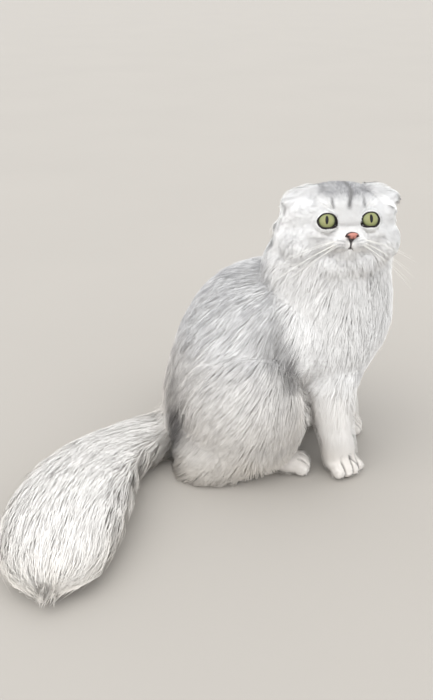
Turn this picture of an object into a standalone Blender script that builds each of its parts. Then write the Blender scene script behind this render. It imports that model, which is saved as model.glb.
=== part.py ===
"""A seated longhaired cat with folded ears, life size, as a still model.

The shapes are the outer form of the coat. The cat sits facing -Y with its head turned to its right (-X),
towards the viewer, and its tail laid along the floor to the same side. Metres, +Z up, floor at z = 0.
"""

import math

import bmesh
import bpy
from mathutils import Matrix, Vector

# Driving dimensions
CENTRE_SHIFT = Vector((0.0996, -0.1426, 0.0))   # moves the middle of the floor rectangle to the origin
CUT_GAP = 0.0008               # growth of a cutting form that leaves the thin gap between two pieces
FIT_GAP = 0.0004               # clearance round an eye, the nose and an ear
FORM_VOXEL = 0.0026            # grid on which the overlapping forms are merged into one
BODY_KEPT = 0.0235             # share of the merged form's triangles kept for the body
HEAD_KEPT = 0.068              # and for the head
CELL_KEPT = 0.014              # and for the rounded cutting forms
MERGE_SMOOTHING = 6            # smoothing passes over the merged form
CELL_SMOOTHING = 2             # and over a cutting form
RING_SIDES = 28                # sides of a stacked form's rings
EAR_SIDES = 14                 # sides of an ear's rings
EYE_RINGS = 9                  # rings from pole to pole of an eye
NOSE_RINGS = 6                 # of the nose
TOE_RINGS = 8                  # of a toe
FLOOR_BLOCK = 0.60             # half size of the block that cuts the flat soles

# Head frame: where the skull sits and which way the face points
HEAD_CENTRE = Vector((-0.029, 0.027, 0.2755))
HEAD_TURN = math.radians(71.0)     # to the cat's right of straight ahead
HEAD_LIFT = math.radians(12.0)     # the face looks up a little

# Face
EYE_RADIUS = 0.0104
EYE_SPACING = 0.0395           # centre to centre
EYE_RISE = 0.0024              # above the middle of the head
EYE_FORWARD = 0.0305           # eye centre in front of the middle of the head
NOSE_HALF = Vector((0.0062, 0.0045, 0.0042))
NOSE_PLACE = (0.0, 0.0470, -0.0090)

# Head forms with their coat: name, (side, forward, rise), half sizes (across, along the face, up)
HEAD_FORMS = (
    ("cranium", (0.0, -0.005, 0.003), (0.0555, 0.0420, 0.0352)),
    ("forehead", (0.0, 0.014, 0.011), (0.0370, 0.0250, 0.0235)),
    ("lower_face", (0.0, 0.001, -0.012), (0.0580, 0.0385, 0.0290)),
    ("nose_bridge", (0.0, 0.0310, -0.0010), (0.0095, 0.0140, 0.0130)),
    ("muzzle", (0.0, 0.0300, -0.0155), (0.0195, 0.0165, 0.0110)),
    ("chin", (0.0, 0.0275, -0.0250), (0.0160, 0.0125, 0.0095)),
    ("nape", (0.0, -0.026, -0.014), (0.0480, 0.0300, 0.0300)),
)
# The same for forms that come in pairs, given for the left side
HEAD_PAIRS = (
    ("cheek", (0.0315, 0.0040, -0.0160), (0.0285, 0.0290, 0.0250)),
    ("whisker_pad", (0.0082, 0.0350, -0.0155), (0.0112, 0.0110, 0.0085)),
    ("brow", (0.0200, 0.0210, 0.0085), (0.0190, 0.0142, 0.0180)),
)

# Folded ears: (side, forward, rise, half along the flap, half thickness) from the crown outwards
EAR_STATIONS = (
    (0.0200, 0.0060, 0.0350, 0.0030, 0.0020),
    (0.0265, 0.0080, 0.0330, 0.0085, 0.0042),
    (0.0355, 0.0095, 0.0295, 0.0118, 0.0050),
    (0.0445, 0.0095, 0.0258, 0.0118, 0.0048),
    (0.0530, 0.0080, 0.0235, 0.0085, 0.0040),
    (0.0595, 0.0060, 0.0230, 0.0030, 0.0020),
)
EAR_SLOPE = math.radians(38.0)     # how far the flap hangs down from level

# Body forms as stacks of level slices: (height, centre across, centre back, half across, half deep)
TRUNK_SLICES = (
    (0.000, 0.000, 0.152, 0.060, 0.046),
    (0.020, 0.000, 0.152, 0.084, 0.058),
    (0.060, 0.000, 0.148, 0.094, 0.066),
    (0.105, 0.000, 0.137, 0.095, 0.069),
    (0.150, 0.000, 0.114, 0.088, 0.077),
    (0.180, 0.000, 0.096, 0.077, 0.078),
    (0.203, 0.000, 0.086, 0.060, 0.066),
    (0.220, -0.002, 0.078, 0.032, 0.040),
)
CHEST_SLICES = (
    (0.072, -0.001, 0.024, 0.045, 0.022),
    (0.096, -0.001, 0.026, 0.056, 0.032),
    (0.125, -0.002, 0.027, 0.064, 0.046),
    (0.160, -0.003, 0.030, 0.070, 0.063),
    (0.195, -0.005, 0.036, 0.071, 0.070),
    (0.225, -0.010, 0.037, 0.066, 0.066),
    (0.250, -0.018, 0.035, 0.058, 0.058),
    (0.272, -0.024, 0.032, 0.046, 0.046),
)
# Right foreleg, from the elbow down: the left one is its mirror image set a little back
FORELEG_SLICES = (
    (0.118, -0.036, 0.024, 0.022, 0.034),
    (0.090, -0.038, 0.022, 0.0215, 0.028),
    (0.060, -0.0395, 0.017, 0.020, 0.0245),
    (0.032, -0.040, 0.010, 0.0195, 0.0215),
    (0.016, -0.0405, 0.007, 0.0185, 0.0205),
)
LEFT_FORELEG_BACK = 0.002

# Tail along the floor: (x, y, z, half across, half high)
TAIL_STATIONS = (
    (0.006, 0.168, 0.024, 0.024, 0.024),
    (-0.042, 0.210, 0.022, 0.030, 0.023),
    (-0.092, 0.240, 0.024, 0.043, 0.026),
    (-0.145, 0.255, 0.026, 0.058, 0.029),
    (-0.200, 0.256, 0.026, 0.064, 0.030),
    (-0.248, 0.249, 0.023, 0.060, 0.026),
    (-0.290, 0.242, 0.017, 0.041, 0.018),
    (-0.312, 0.238, 0.011, 0.020, 0.010),
    (-0.320, 0.237, 0.007, 0.006, 0.004),
)

# Single body forms: centre, half sizes, turn about the vertical in degrees; right side, mirrored for the left
THIGH = ((-0.071, 0.110, 0.075), (0.044, 0.069, 0.081), 6.0)
SKIRT = ((-0.078, 0.142, 0.006), (0.043, 0.051, 0.052), 10.0)
KNEE = ((-0.068, 0.077, 0.080), (0.034, 0.038, 0.050), 0.0)
SHOULDER = ((-0.044, 0.060, 0.160), (0.034, 0.048, 0.056), 0.0)
HOCK = ((-0.062, 0.096, 0.016), (0.021, 0.042, 0.020), 8.0)
FOREPAW = ((-0.0425, 0.0050, 0.0120), (0.0205, 0.0225, 0.0140), 0.0)
HINDPAW = ((-0.0530, 0.0615, 0.0120), (0.0195, 0.0250, 0.0155), 10.0)

# Toes: half sizes, places across the paw in toe widths, and how far they stand from the paw's front
TOE_HALF = (0.0062, 0.0090, 0.0085)
TOE_SPREAD = (-1.5, -0.5, 0.5, 1.5)
TOE_PITCH = 0.50               # one toe width, as a share of the paw's half width
TOE_INSET = 0.0065             # toe centre behind the paw's front edge
TOE_ARC = 0.0018               # how much further back the outer toes sit

# Where the head leaves the neck, in the head's own frame, and the half size of the block above that cut
HEAD_CUT_RISE = -0.0340
HEAD_BLOCK = 0.10

# Blocks that part the body: name, centre, half sizes, turn as axis and degrees
PAW_CUTS = (
    ("forepaw_right", (-0.060, -0.010, 0.00), (0.060, 0.0440, 0.0315), ("Z", 0.0)),
    ("forepaw_left", (0.060, -0.010, 0.00), (0.060, 0.0440, 0.0315), ("Z", 0.0)),
    ("hindpaw_right", (-0.060, 0.059, 0.00), (0.060, 0.0245, 0.031), ("Z", 0.0)),
    ("hindpaw_left", (0.060, 0.059, 0.00), (0.060, 0.0245, 0.031), ("Z", 0.0)),
)
LATER_CUTS = (
    ("tail_tip", (-0.345, 0.25, 0.05), (0.120, 0.15, 0.08), ("Z", 0.0)),
    ("tail_middle", (-0.345, 0.25, 0.05), (0.205, 0.15, 0.08), ("Z", 0.0)),
    ("tail_base", (-0.142, 0.335, 0.00), (0.150, 0.25, 0.062), ("Z", -53.1)),
    ("foreleg_right", (-0.080, -0.010, 0.05), (0.080, 0.070, 0.052), ("Z", 0.0)),
    ("foreleg_left", (0.080, -0.010, 0.05), (0.080, 0.070, 0.052), ("Z", 0.0)),
    ("neck", (0.000, 0.050, 0.29), (0.150, 0.200, 0.090), ("X", 14.0)),
    ("chest", (0.000, -0.048, 0.235), (0.150, 0.130, 0.200), ("X", -25.0)),
)
# Hind legs are cut out by a rounded form: name and whether it is the left one
HINDLEG_CUTS = (("hindleg_right", False), ("hindleg_left", True))
HINDLEG_ROOM = 0.004           # how far the cutting form stands outside the coat
HINDLEG_INNER = 0.046          # where the hind leg meets the trunk, from the middle
HINDLEG_BLOCK = 0.20           # half size of the block outside that plane

# Finishes: name, linear colour, roughness
FINISHES = (
    ("white_coat", (0.86, 0.85, 0.83), 0.85),
    ("silver_coat", (0.52, 0.52, 0.53), 0.85),
    ("green_eye", (0.30, 0.36, 0.10), 0.10),
    ("nose_leather", (0.55, 0.22, 0.17), 0.55),
)


def clear_scene():
    for obj in list(bpy.data.objects):
        bpy.data.objects.remove(obj)


def head_axes():
    """Unit vectors of the head: its left side, its face direction and its up."""
    ahead = Vector((-math.sin(HEAD_TURN), -math.cos(HEAD_TURN), 0.0))
    left = Vector((math.cos(HEAD_TURN), -math.sin(HEAD_TURN), 0.0))
    up = Vector((0.0, 0.0, 1.0))
    face = ahead * math.cos(HEAD_LIFT) + up * math.sin(HEAD_LIFT)
    return left, face, up * math.cos(HEAD_LIFT) - ahead * math.sin(HEAD_LIFT)


def on_head(side, forward, rise):
    """A point given in the head's own frame, in the world."""
    left, face, up = head_axes()
    return HEAD_CENTRE + left * side + face * forward + up * rise


def head_turn():
    """Head frame to world: X to its left, Y out of the back of the head, Z up."""
    left, face, up = head_axes()
    return Matrix((left, -face, up)).transposed().to_4x4()


def link(name, mesh):
    obj = bpy.data.objects.new(name, mesh)
    bpy.context.scene.collection.objects.link(obj)
    return obj


def from_bmesh(name, shape):
    mesh = bpy.data.meshes.new(name)
    bmesh.ops.recalc_face_normals(shape, faces=shape.faces[:])
    shape.to_mesh(mesh)
    shape.free()
    return link(name, mesh)


def ellipsoid(name, centre, half, turn=Matrix.Identity(4), rings=16):
    """A scaled sphere with half sizes along its own axes."""
    shape = bmesh.new()
    place = Matrix.Translation(centre) @ turn @ Matrix.Diagonal((*half, 1.0))
    bmesh.ops.create_uvsphere(shape, u_segments=2 * rings, v_segments=rings, radius=1.0, matrix=place)
    return from_bmesh(name, shape)


def block(name, centre, half, turn=Matrix.Identity(4)):
    """A box given by its middle and half sizes."""
    shape = bmesh.new()
    place = Matrix.Translation(centre) @ turn @ Matrix.Diagonal((*half, 1.0))
    bmesh.ops.create_cube(shape, size=2.0, matrix=place)
    return from_bmesh(name, shape)


def turned_block(centre, half, turn):
    axis, degrees = turn
    return block("cell", centre, half, Matrix.Rotation(math.radians(degrees), 4, axis))


def curve_through(rows, steps):
    """Rows on a smooth curve through the given rows, with this many steps between two of them."""
    found = []
    for i in range(len(rows) - 1):
        first, second = rows[max(i - 1, 0)], rows[i]
        third, fourth = rows[i + 1], rows[min(i + 2, len(rows) - 1)]
        for step in range(steps):
            t = step / steps
            row = []
            for a, b, c, d in zip(first, second, third, fourth):
                bend = (2 * a - 5 * b + 4 * c - d) * t * t + (3 * b - a - 3 * c + d) * t ** 3
                row.append(0.5 * (2 * b + (c - a) * t + bend))
            found.append(row)
    return found + [list(rows[-1])]


def bridged(name, places, sides=RING_SIDES):
    """A closed form through unit circles set by these matrices, with flat ends."""
    shape = bmesh.new()
    rings = []
    for place in places:
        made = bmesh.ops.create_circle(shape, segments=sides, radius=1.0, matrix=place)
        rings.append({edge for vert in made["verts"] for edge in vert.link_edges})
    for lower, upper in zip(rings, rings[1:]):
        bmesh.ops.bridge_loops(shape, edges=list(lower | upper))
    for ring in (rings[0], rings[-1]):
        bmesh.ops.contextual_create(shape, geom=list(ring))
    return from_bmesh(name, shape)


def stack(name, slices, steps=4, mirrored=False, moved_back=0.0):
    """A form through level slices of (height, centre across, centre back, half across, half deep)."""
    side = -1.0 if mirrored else 1.0
    places = []
    for height, across, back, half_across, half_deep in curve_through(slices, steps):
        centre = Vector((side * across, back + moved_back, height))
        places.append(Matrix.Translation(centre) @ Matrix.Diagonal((half_across, half_deep, 1.0, 1.0)))
    return bridged(name, places)


def run_along(name, stations, steps=4):
    """A form along a level path through stations of (x, y, z, half across, half high)."""
    rows = curve_through(stations, steps)
    points = [Vector(row[:3]) for row in rows]
    places = []
    for i, row in enumerate(rows):
        ahead = points[min(i + 1, len(points) - 1)] - points[max(i - 1, 0)]
        ahead.z = 0.0
        ahead.normalize()
        up = Vector((0.0, 0.0, 1.0))
        turn = Matrix((up.cross(ahead), up, ahead)).transposed().to_4x4()
        places.append(Matrix.Translation(points[i]) @ turn @ Matrix.Diagonal((row[3], row[4], 1.0, 1.0)))
    return bridged(name, places)


def finish(name, colour, roughness):
    """A plain finish; the colour is linear."""
    material = bpy.data.materials.new(name)
    material.use_nodes = True
    shader = material.node_tree.nodes["Principled BSDF"]
    shader.inputs["Base Color"].default_value = (*colour, 1.0)
    shader.inputs["Roughness"].default_value = roughness
    material.diffuse_color = (*colour, 1.0)
    return material


def evaluated(obj, name):
    """The object as its modifiers leave it, as a new object; the old one is removed."""
    bpy.context.view_layer.update()
    mesh = bpy.data.meshes.new_from_object(obj.evaluated_get(bpy.context.evaluated_depsgraph_get()))
    bpy.data.objects.remove(obj)
    return link(name, mesh)


def copy_of(obj, name):
    return link(name, obj.data.copy())


def joined(name, parts):
    """All parts in one mesh, still overlapping."""
    shape = bmesh.new()
    for part in parts:
        shape.from_mesh(part.data)
        bpy.data.objects.remove(part)
    mesh = bpy.data.meshes.new(name)
    shape.to_mesh(mesh)
    shape.free()
    return link(name, mesh)


def merged(name, parts, smoothing):
    """Overlapping closed forms as one smooth closed skin."""
    whole = joined(name, parts)
    remesh = whole.modifiers.new("remesh", "REMESH")
    remesh.mode = "VOXEL"
    remesh.voxel_size = FORM_VOXEL
    smooth = whole.modifiers.new("smooth", "SMOOTH")
    smooth.factor = 0.5
    smooth.iterations = smoothing
    return evaluated(whole, name)


def thinned(obj, name, kept):
    """A copy with fewer triangles."""
    copy = copy_of(obj, name)
    thin = copy.modifiers.new("thin", "DECIMATE")
    thin.ratio = kept
    return evaluated(copy, name)


def boolean(obj, other, operation, name):
    cut = obj.modifiers.new("cut", "BOOLEAN")
    cut.operation = operation
    cut.solver = "EXACT"
    cut.object = other
    return evaluated(obj, name)


def fuller(obj, by):
    """A copy of a form pushed out along its own normals."""
    copy = copy_of(obj, obj.name + "_room")
    grow = copy.modifiers.new("grow", "DISPLACE")
    grow.strength = by
    grow.mid_level = 0.0
    return evaluated(copy, obj.name + "_room")


def part_off(whole, name, cell):
    """Cuts the piece inside a closed form off the whole, leaving a thin gap; gives the piece and the rest."""
    piece = boolean(copy_of(whole, name), cell, "INTERSECT", name)
    room = fuller(cell, CUT_GAP)
    rest = boolean(whole, room, "DIFFERENCE", "trunk")
    bpy.data.objects.remove(cell)
    bpy.data.objects.remove(room)
    return piece, rest


def mirrored_turn(degrees, mirrored):
    return Matrix.Rotation(math.radians(-degrees if mirrored else degrees), 4, "Z")


def pair_form(name, spec, mirrored):
    """One of a pair of body forms, from its right-side values."""
    centre, half, degrees = spec
    side = -1.0 if mirrored else 1.0
    ends = "left" if mirrored else "right"
    place = Vector((side * centre[0], centre[1], centre[2]))
    return ellipsoid(f"{name}_{ends}", place, half, mirrored_turn(degrees, mirrored))


def toes(paw, mirrored, moved_back=0.0):
    """Four rounded toes across the front of a paw."""
    centre, half, degrees = paw
    side = -1.0 if mirrored else 1.0
    turn = mirrored_turn(degrees, mirrored)
    middle = Vector((side * centre[0], centre[1] + moved_back, 0.0))
    found = []
    for step in TOE_SPREAD:
        reach = half[1] - TOE_INSET - TOE_ARC * abs(step) ** 1.5
        offset = turn @ Vector((step * half[0] * TOE_PITCH, -reach, TOE_HALF[2]))
        found.append(ellipsoid("toe", middle + offset, TOE_HALF, turn, rings=TOE_RINGS))
    return found


def head_forms():
    """The forms of the skull, face and cheeks."""
    turn = head_turn()
    found = [ellipsoid(name, on_head(*place), half, turn) for name, place, half in HEAD_FORMS]
    for name, place, half in HEAD_PAIRS:
        for side in (1.0, -1.0):
            found.append(ellipsoid(name, on_head(side * place[0], place[1], place[2]), half, turn))
    return found


def body_forms():
    """The forms of the trunk, chest, legs and feet."""
    found = [stack("trunk_form", TRUNK_SLICES), stack("chest_form", CHEST_SLICES)]
    for mirrored in (False, True):
        moved_back = LEFT_FORELEG_BACK if mirrored else 0.0
        found.append(stack("foreleg_form", FORELEG_SLICES, mirrored=mirrored, moved_back=moved_back))
        for name, spec in (("thigh", THIGH), ("skirt", SKIRT), ("knee", KNEE), ("shoulder", SHOULDER),
                           ("hock", HOCK), ("hindpaw", HINDPAW)):
            found.append(pair_form(name, spec, mirrored))
        centre, half, degrees = FOREPAW
        place = (centre[0], centre[1] + moved_back, centre[2])
        found.append(pair_form("forepaw", (place, half, degrees), mirrored))
        found += toes(FOREPAW, mirrored, moved_back)
        found += toes(HINDPAW, mirrored)
    return found


def ear_form(name, side):
    """A folded ear: a flat flap that lies forward and down over the side of the crown."""
    places = []
    turn = head_turn()
    rows = curve_through(EAR_STATIONS, 2)
    points = [Vector((side * row[0], -row[1], row[2])) for row in rows]
    down = Vector((0.0, -math.cos(EAR_SLOPE), -math.sin(EAR_SLOPE)))
    for i, row in enumerate(rows):
        ahead = (points[min(i + 1, len(points) - 1)] - points[max(i - 1, 0)]).normalized()
        flap = (down - ahead * down.dot(ahead)).normalized()
        axes = Matrix((flap, ahead.cross(flap), ahead)).transposed().to_4x4()
        places.append(
            Matrix.Translation(HEAD_CENTRE) @ turn @ Matrix.Translation(points[i]) @ axes
            @ Matrix.Diagonal((row[3], row[4], 1.0, 1.0))
        )
    return bridged(name, places, EAR_SIDES)


def level_floor(obj):
    """Cuts a form flat at the floor."""
    ground = block("ground", (0.0, 0.0, -FLOOR_BLOCK), [FLOOR_BLOCK] * 3)
    cut = boolean(obj, ground, "DIFFERENCE", obj.name)
    bpy.data.objects.remove(ground)
    return cut


def build_flesh():
    """The whole coat outline as one form: a coarser copy for the body and a finer one for the head."""
    forms = head_forms() + body_forms() + [run_along("tail_form", TAIL_STATIONS)]
    whole = merged("whole", forms, MERGE_SMOOTHING)
    body = level_floor(thinned(whole, "trunk", BODY_KEPT))
    fine = thinned(whole, "fine", HEAD_KEPT)
    bpy.data.objects.remove(whole)
    return body, fine


def sink_in(flesh, insert):
    """Makes room in the flesh for a piece set into it."""
    room = fuller(insert, FIT_GAP)
    flesh = boolean(flesh, room, "DIFFERENCE", flesh.name)
    bpy.data.objects.remove(room)
    return flesh


def above_neck():
    """The block that holds the head down to its cut."""
    return block("above", on_head(0.0, 0.0, HEAD_CUT_RISE + HEAD_BLOCK), [HEAD_BLOCK] * 3, head_turn())


def build_head(fine):
    """The head above its cut, with the ears, eyes and nose set into it."""
    above = above_neck()
    head = boolean(fine, above, "INTERSECT", "head")
    bpy.data.objects.remove(above)
    pieces = []
    for side, end in ((1.0, "left"), (-1.0, "right")):
        pieces.append(ear_form(f"ear_{end}", side))
        place = on_head(side * EYE_SPACING / 2, EYE_FORWARD, EYE_RISE)
        pieces.append(ellipsoid(f"eye_{end}", place, (EYE_RADIUS,) * 3, head_turn(), rings=EYE_RINGS))
    pieces.append(ellipsoid("nose", on_head(*NOSE_PLACE), NOSE_HALF, head_turn(), rings=NOSE_RINGS))
    for piece in pieces:
        head = sink_in(head, piece)
    return [head] + pieces


def hindleg_cell(mirrored):
    """A rounded form just outside the thigh, its knee and the long hair below, kept clear of the trunk."""
    forms = []
    for spec in (THIGH, SKIRT, KNEE, HOCK):
        centre, half, degrees = spec
        forms.append(pair_form("cell", (centre, [h + HINDLEG_ROOM for h in half], degrees), mirrored))
    rough = merged("rough_cell", forms, CELL_SMOOTHING)
    side = 1.0 if mirrored else -1.0
    middle = (side * (HINDLEG_INNER + HINDLEG_BLOCK), THIGH[0][1], 0.0)
    outer = block("outer", middle, [HINDLEG_BLOCK] * 3)
    cell = boolean(thinned(rough, "cell", CELL_KEPT), outer, "INTERSECT", "cell")
    bpy.data.objects.remove(outer)
    bpy.data.objects.remove(rough)
    return cell


def build_body(body):
    """Cuts the body into its named pieces."""
    above = above_neck()
    room = fuller(above, CUT_GAP)
    rest = boolean(body, room, "DIFFERENCE", "trunk")
    bpy.data.objects.remove(above)
    bpy.data.objects.remove(room)
    pieces = []
    for cuts in (PAW_CUTS, HINDLEG_CUTS, LATER_CUTS):
        for name, *values in cuts:
            cell = hindleg_cell(*values) if cuts is HINDLEG_CUTS else turned_block(*values)
            piece, rest = part_off(rest, name, cell)
            pieces.append(piece)
    return pieces + [rest]


def finish_for(name):
    """Which finish a piece has, by its name."""
    if name.startswith("eye"):
        return "green_eye"
    if name == "nose":
        return "nose_leather"
    return "silver_coat" if name.startswith(("trunk", "hindleg")) else "white_coat"


def main():
    clear_scene()
    body, fine = build_flesh()
    finishes = {name: finish(name, colour, roughness) for name, colour, roughness in FINISHES}
    for piece in build_head(fine) + build_body(body):
        piece.data.transform(Matrix.Translation(CENTRE_SHIFT))
        piece.data.materials.clear()
        piece.data.materials.append(finishes[finish_for(piece.name)])
        piece.data.shade_smooth()


if __name__ == "__main__":
    main()
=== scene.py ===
import math

import bmesh
import bpy
import numpy as np
from mathutils import Matrix, Vector
from mathutils.bvhtree import BVHTree
from mathutils.kdtree import KDTree


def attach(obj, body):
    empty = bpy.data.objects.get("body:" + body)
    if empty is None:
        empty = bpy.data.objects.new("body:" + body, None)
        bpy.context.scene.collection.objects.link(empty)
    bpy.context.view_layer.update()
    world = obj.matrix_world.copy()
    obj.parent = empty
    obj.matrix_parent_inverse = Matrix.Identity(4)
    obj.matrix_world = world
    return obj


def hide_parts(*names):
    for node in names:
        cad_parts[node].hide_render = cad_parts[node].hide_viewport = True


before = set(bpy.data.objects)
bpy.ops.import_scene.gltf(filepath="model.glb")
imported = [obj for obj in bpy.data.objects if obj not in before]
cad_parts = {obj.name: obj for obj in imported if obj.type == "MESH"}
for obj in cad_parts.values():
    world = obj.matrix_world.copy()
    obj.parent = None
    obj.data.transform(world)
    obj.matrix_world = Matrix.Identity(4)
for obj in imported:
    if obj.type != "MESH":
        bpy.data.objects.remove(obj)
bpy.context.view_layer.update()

# The cat's own frame: it faces -Y with its left at +X; HOME moves it to the model's frame
HOME = Vector((0.0996, -0.1426, 0.0))
HEAD_CENTRE = Vector((-0.029, 0.027, 0.2755))
HEAD_TURN = math.radians(71.0)     # to the cat's right of straight ahead
HEAD_LIFT = math.radians(12.0)     # the face looks up a little
MM = 0.001
TINY = 1e-9                        # keeps a division from zero
SEED = 4

# Eyes and nose, in the head's frame of side, forward and rise
EYE_RADIUS = 0.0104
EYE_SPACING = 0.0395
EYE_RISE = 0.0024
EYE_FORWARD = 0.0305
EYE_OUTWARD = math.radians(6.0)    # each eye looks a little to its own side
LID_LIFT = math.radians(9.0)       # the lids open a little above level
GAZE_LIFT = math.radians(17.0)     # and the cat looks up
GAZE_TURN = math.radians(6.0)      # and to its right
LID_THICKNESS = 0.0008
OPENING_HIGH = math.radians(44.0)  # half angle of the open lids, upright
OPENING_WIDE = math.radians(55.0)  # and across
OPENING_POWERS = (1.6, 1.2)        # how fast the opening widens sideways and narrows below
LOWER_LID = math.radians(10.0)     # how much less it opens below
# The eye's corners: place round the eye, breadth, how much further the lids open there
INNER_CORNER = (math.radians(203.0), math.radians(15.0), math.radians(13.0))
OUTER_CORNER = (0.15, math.radians(14.0), math.radians(5.0))
LID_REACH = math.radians(34.0)     # how far round the eye the lids blend into the face
LID_FIELD = 0.024                  # skin this near the eye's middle and axis is drawn onto it
LID_FIELD_ANGLE = math.radians(115.0)
LID_SINK = 0.0016                  # skin inside the opening lies this far under the eye's surface
CORNEA_BULGE = 0.0006
CORNEA_EDGE = (0.55, 0.95)         # where the bulge starts and ends, in eye radii along the gaze
EYE_SINK = 0.0002
RIM_SIDES = 72                     # steps round the lids' edge
RIM_RING_SIDES = 10
RIM_HALF = (0.00110, 0.00060)      # half thickness of the lids' edge, across it and off the eye
RIM_MARGIN = 0.01                  # its place past the opening, as an angle
RIM_LIFT = 0.00025                 # and off the eye
NOSE_HALF = Vector((0.0062, 0.0045, 0.0042))
NOSE_PLACE = (0.0, 0.0470, -0.0090)
# On the nose, in its half sizes: place across and up, breadth across and up, depth
NOSTRIL = (0.62, -0.12, 0.17, 0.22, 0.55)
NOSE_SLIT = (0.80, 0.02, 0.20, 0.10, 0.35)
NOSE_GROOVE = (0.10, 0.22)         # breadth and depth
NOSE_TAPER = 0.62                  # how much narrower it is at its foot
NOSE_WINGS = (-0.16, 0.15, 0.26)   # height, breadth and reach of the wings beside the nostrils

# Mouth, in the plane of the face: the line down from the nose, the lips and the lines of the pads
CLEFT_FOOT = (-0.0222, -0.0208)    # where it fades in, from below
CLEFT_TOP = (-0.0098, -0.0112)     # and from above
CLEFT_WIDTH = 0.0008
CLEFT_FLARE = 0.0016               # how much broader it is under the nose
FLARE_RISE = (-0.0168, -0.0125)
CLEFT_END = (-0.0208, 0.0014)      # the spot at its foot: rise and breadth
LIP_BREADTH = 0.0009
LIP_STRENGTH = 0.5
LIP_LINE = ((0.0004, -0.0205), (0.0030, -0.0225), (0.0070, -0.0236), (0.0110, -0.0228))
PAD_LINES = (((0.0060, -0.0145), (0.0130, -0.0130)), ((0.0060, -0.0172), (0.0145, -0.0165)),
             ((0.0060, -0.0196), (0.0130, -0.0202)))
MOUTH_DEPTH = 0.0016
MOUTH_FRONT = 0.026                # the mouth lies ahead of this

# Skin under the coat, as forms in the head's frame: (side, forward, rise), half sizes
HEAD_FLESH = (
    ((0.0, -0.004, 0.002), (0.0480, 0.0380, 0.0315)),
    ((0.0, 0.014, 0.010), (0.0330, 0.0230, 0.0215)),
    ((0.0, 0.002, -0.011), (0.0500, 0.0355, 0.0265)),
    ((0.0, 0.0295, 0.0000), (0.0125, 0.0130, 0.0160)),
    ((0.0, 0.0140, -0.0360), (0.0300, 0.0195, 0.0130)),
    ((0.0, 0.0300, -0.0155), (0.0180, 0.0152, 0.0100)),
    ((0.0, 0.0275, -0.0245), (0.0145, 0.0115, 0.0082)),
    ((0.0, -0.022, -0.014), (0.0340, 0.0240, 0.0260)),
)
HEAD_FLESH_PAIRS = (
    ((0.0295, 0.0050, -0.0165), (0.0240, 0.0250, 0.0215)),
    ((0.0370, 0.0070, 0.0090), (0.0150, 0.0190, 0.0190)),
    ((0.0082, 0.0350, -0.0155), (0.0102, 0.0098, 0.0076)),
    ((0.0195, 0.0205, 0.0075), (0.0172, 0.0125, 0.0160)),
    ((0.0440, -0.0060, 0.0080), (0.0110, 0.0170, 0.0170)),
    ((0.0450, -0.0150, -0.0120), (0.0130, 0.0200, 0.0200)),
    ((0.0215, 0.0240, -0.0078), (0.0170, 0.0118, 0.0105)),
)
# Ear flaps: side, forward, rise, half along the flap, half thickness
EAR_FLESH = (
    (0.0200, 0.0060, 0.0335, 0.0030, 0.0020),
    (0.0265, 0.0078, 0.0315, 0.0070, 0.0032),
    (0.0355, 0.0090, 0.0282, 0.0095, 0.0036),
    (0.0445, 0.0088, 0.0244, 0.0095, 0.0034),
    (0.0520, 0.0074, 0.0216, 0.0065, 0.0028),
    (0.0560, 0.0062, 0.0205, 0.0028, 0.0018),
)
EAR_SLOPE = math.radians(38.0)

# Body flesh as level slices: height, centre across, centre back, half across, half deep
TRUNK_FLESH = (
    (0.004, 0.000, 0.149, 0.050, 0.038),
    (0.020, 0.000, 0.150, 0.071, 0.047),
    (0.060, 0.000, 0.146, 0.081, 0.055),
    (0.105, 0.000, 0.135, 0.082, 0.058),
    (0.150, 0.000, 0.113, 0.075, 0.065),
    (0.180, 0.000, 0.095, 0.064, 0.065),
    (0.198, 0.000, 0.085, 0.047, 0.053),
    (0.209, -0.002, 0.078, 0.023, 0.029),
)
CHEST_FLESH = (
    (0.080, -0.001, 0.028, 0.036, 0.016),
    (0.100, -0.001, 0.028, 0.046, 0.026),
    (0.125, -0.002, 0.029, 0.052, 0.038),
    (0.160, -0.003, 0.033, 0.057, 0.051),
    (0.195, -0.005, 0.038, 0.058, 0.056),
    (0.225, -0.010, 0.038, 0.055, 0.054),
    (0.250, -0.018, 0.035, 0.049, 0.049),
    (0.268, -0.024, 0.032, 0.040, 0.040),
)
FORELEG_FLESH = (
    (0.118, -0.036, 0.025, 0.0170, 0.0270),
    (0.090, -0.038, 0.023, 0.0170, 0.0230),
    (0.060, -0.0395, 0.018, 0.0160, 0.0195),
    (0.032, -0.040, 0.0105, 0.0165, 0.0185),
    (0.014, -0.0405, 0.0075, 0.0160, 0.0180),
)
LEFT_FORELEG_BACK = 0.002
# Tail core: x, y, z, half across, half high
TAIL_FLESH = (
    (0.006, 0.168, 0.0200, 0.0180, 0.0170),
    (-0.042, 0.210, 0.0200, 0.0210, 0.0160),
    (-0.092, 0.240, 0.0205, 0.0290, 0.0170),
    (-0.145, 0.255, 0.0215, 0.0390, 0.0185),
    (-0.200, 0.256, 0.0210, 0.0430, 0.0185),
    (-0.245, 0.249, 0.0185, 0.0370, 0.0155),
    (-0.278, 0.244, 0.0145, 0.0220, 0.0100),
)
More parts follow.
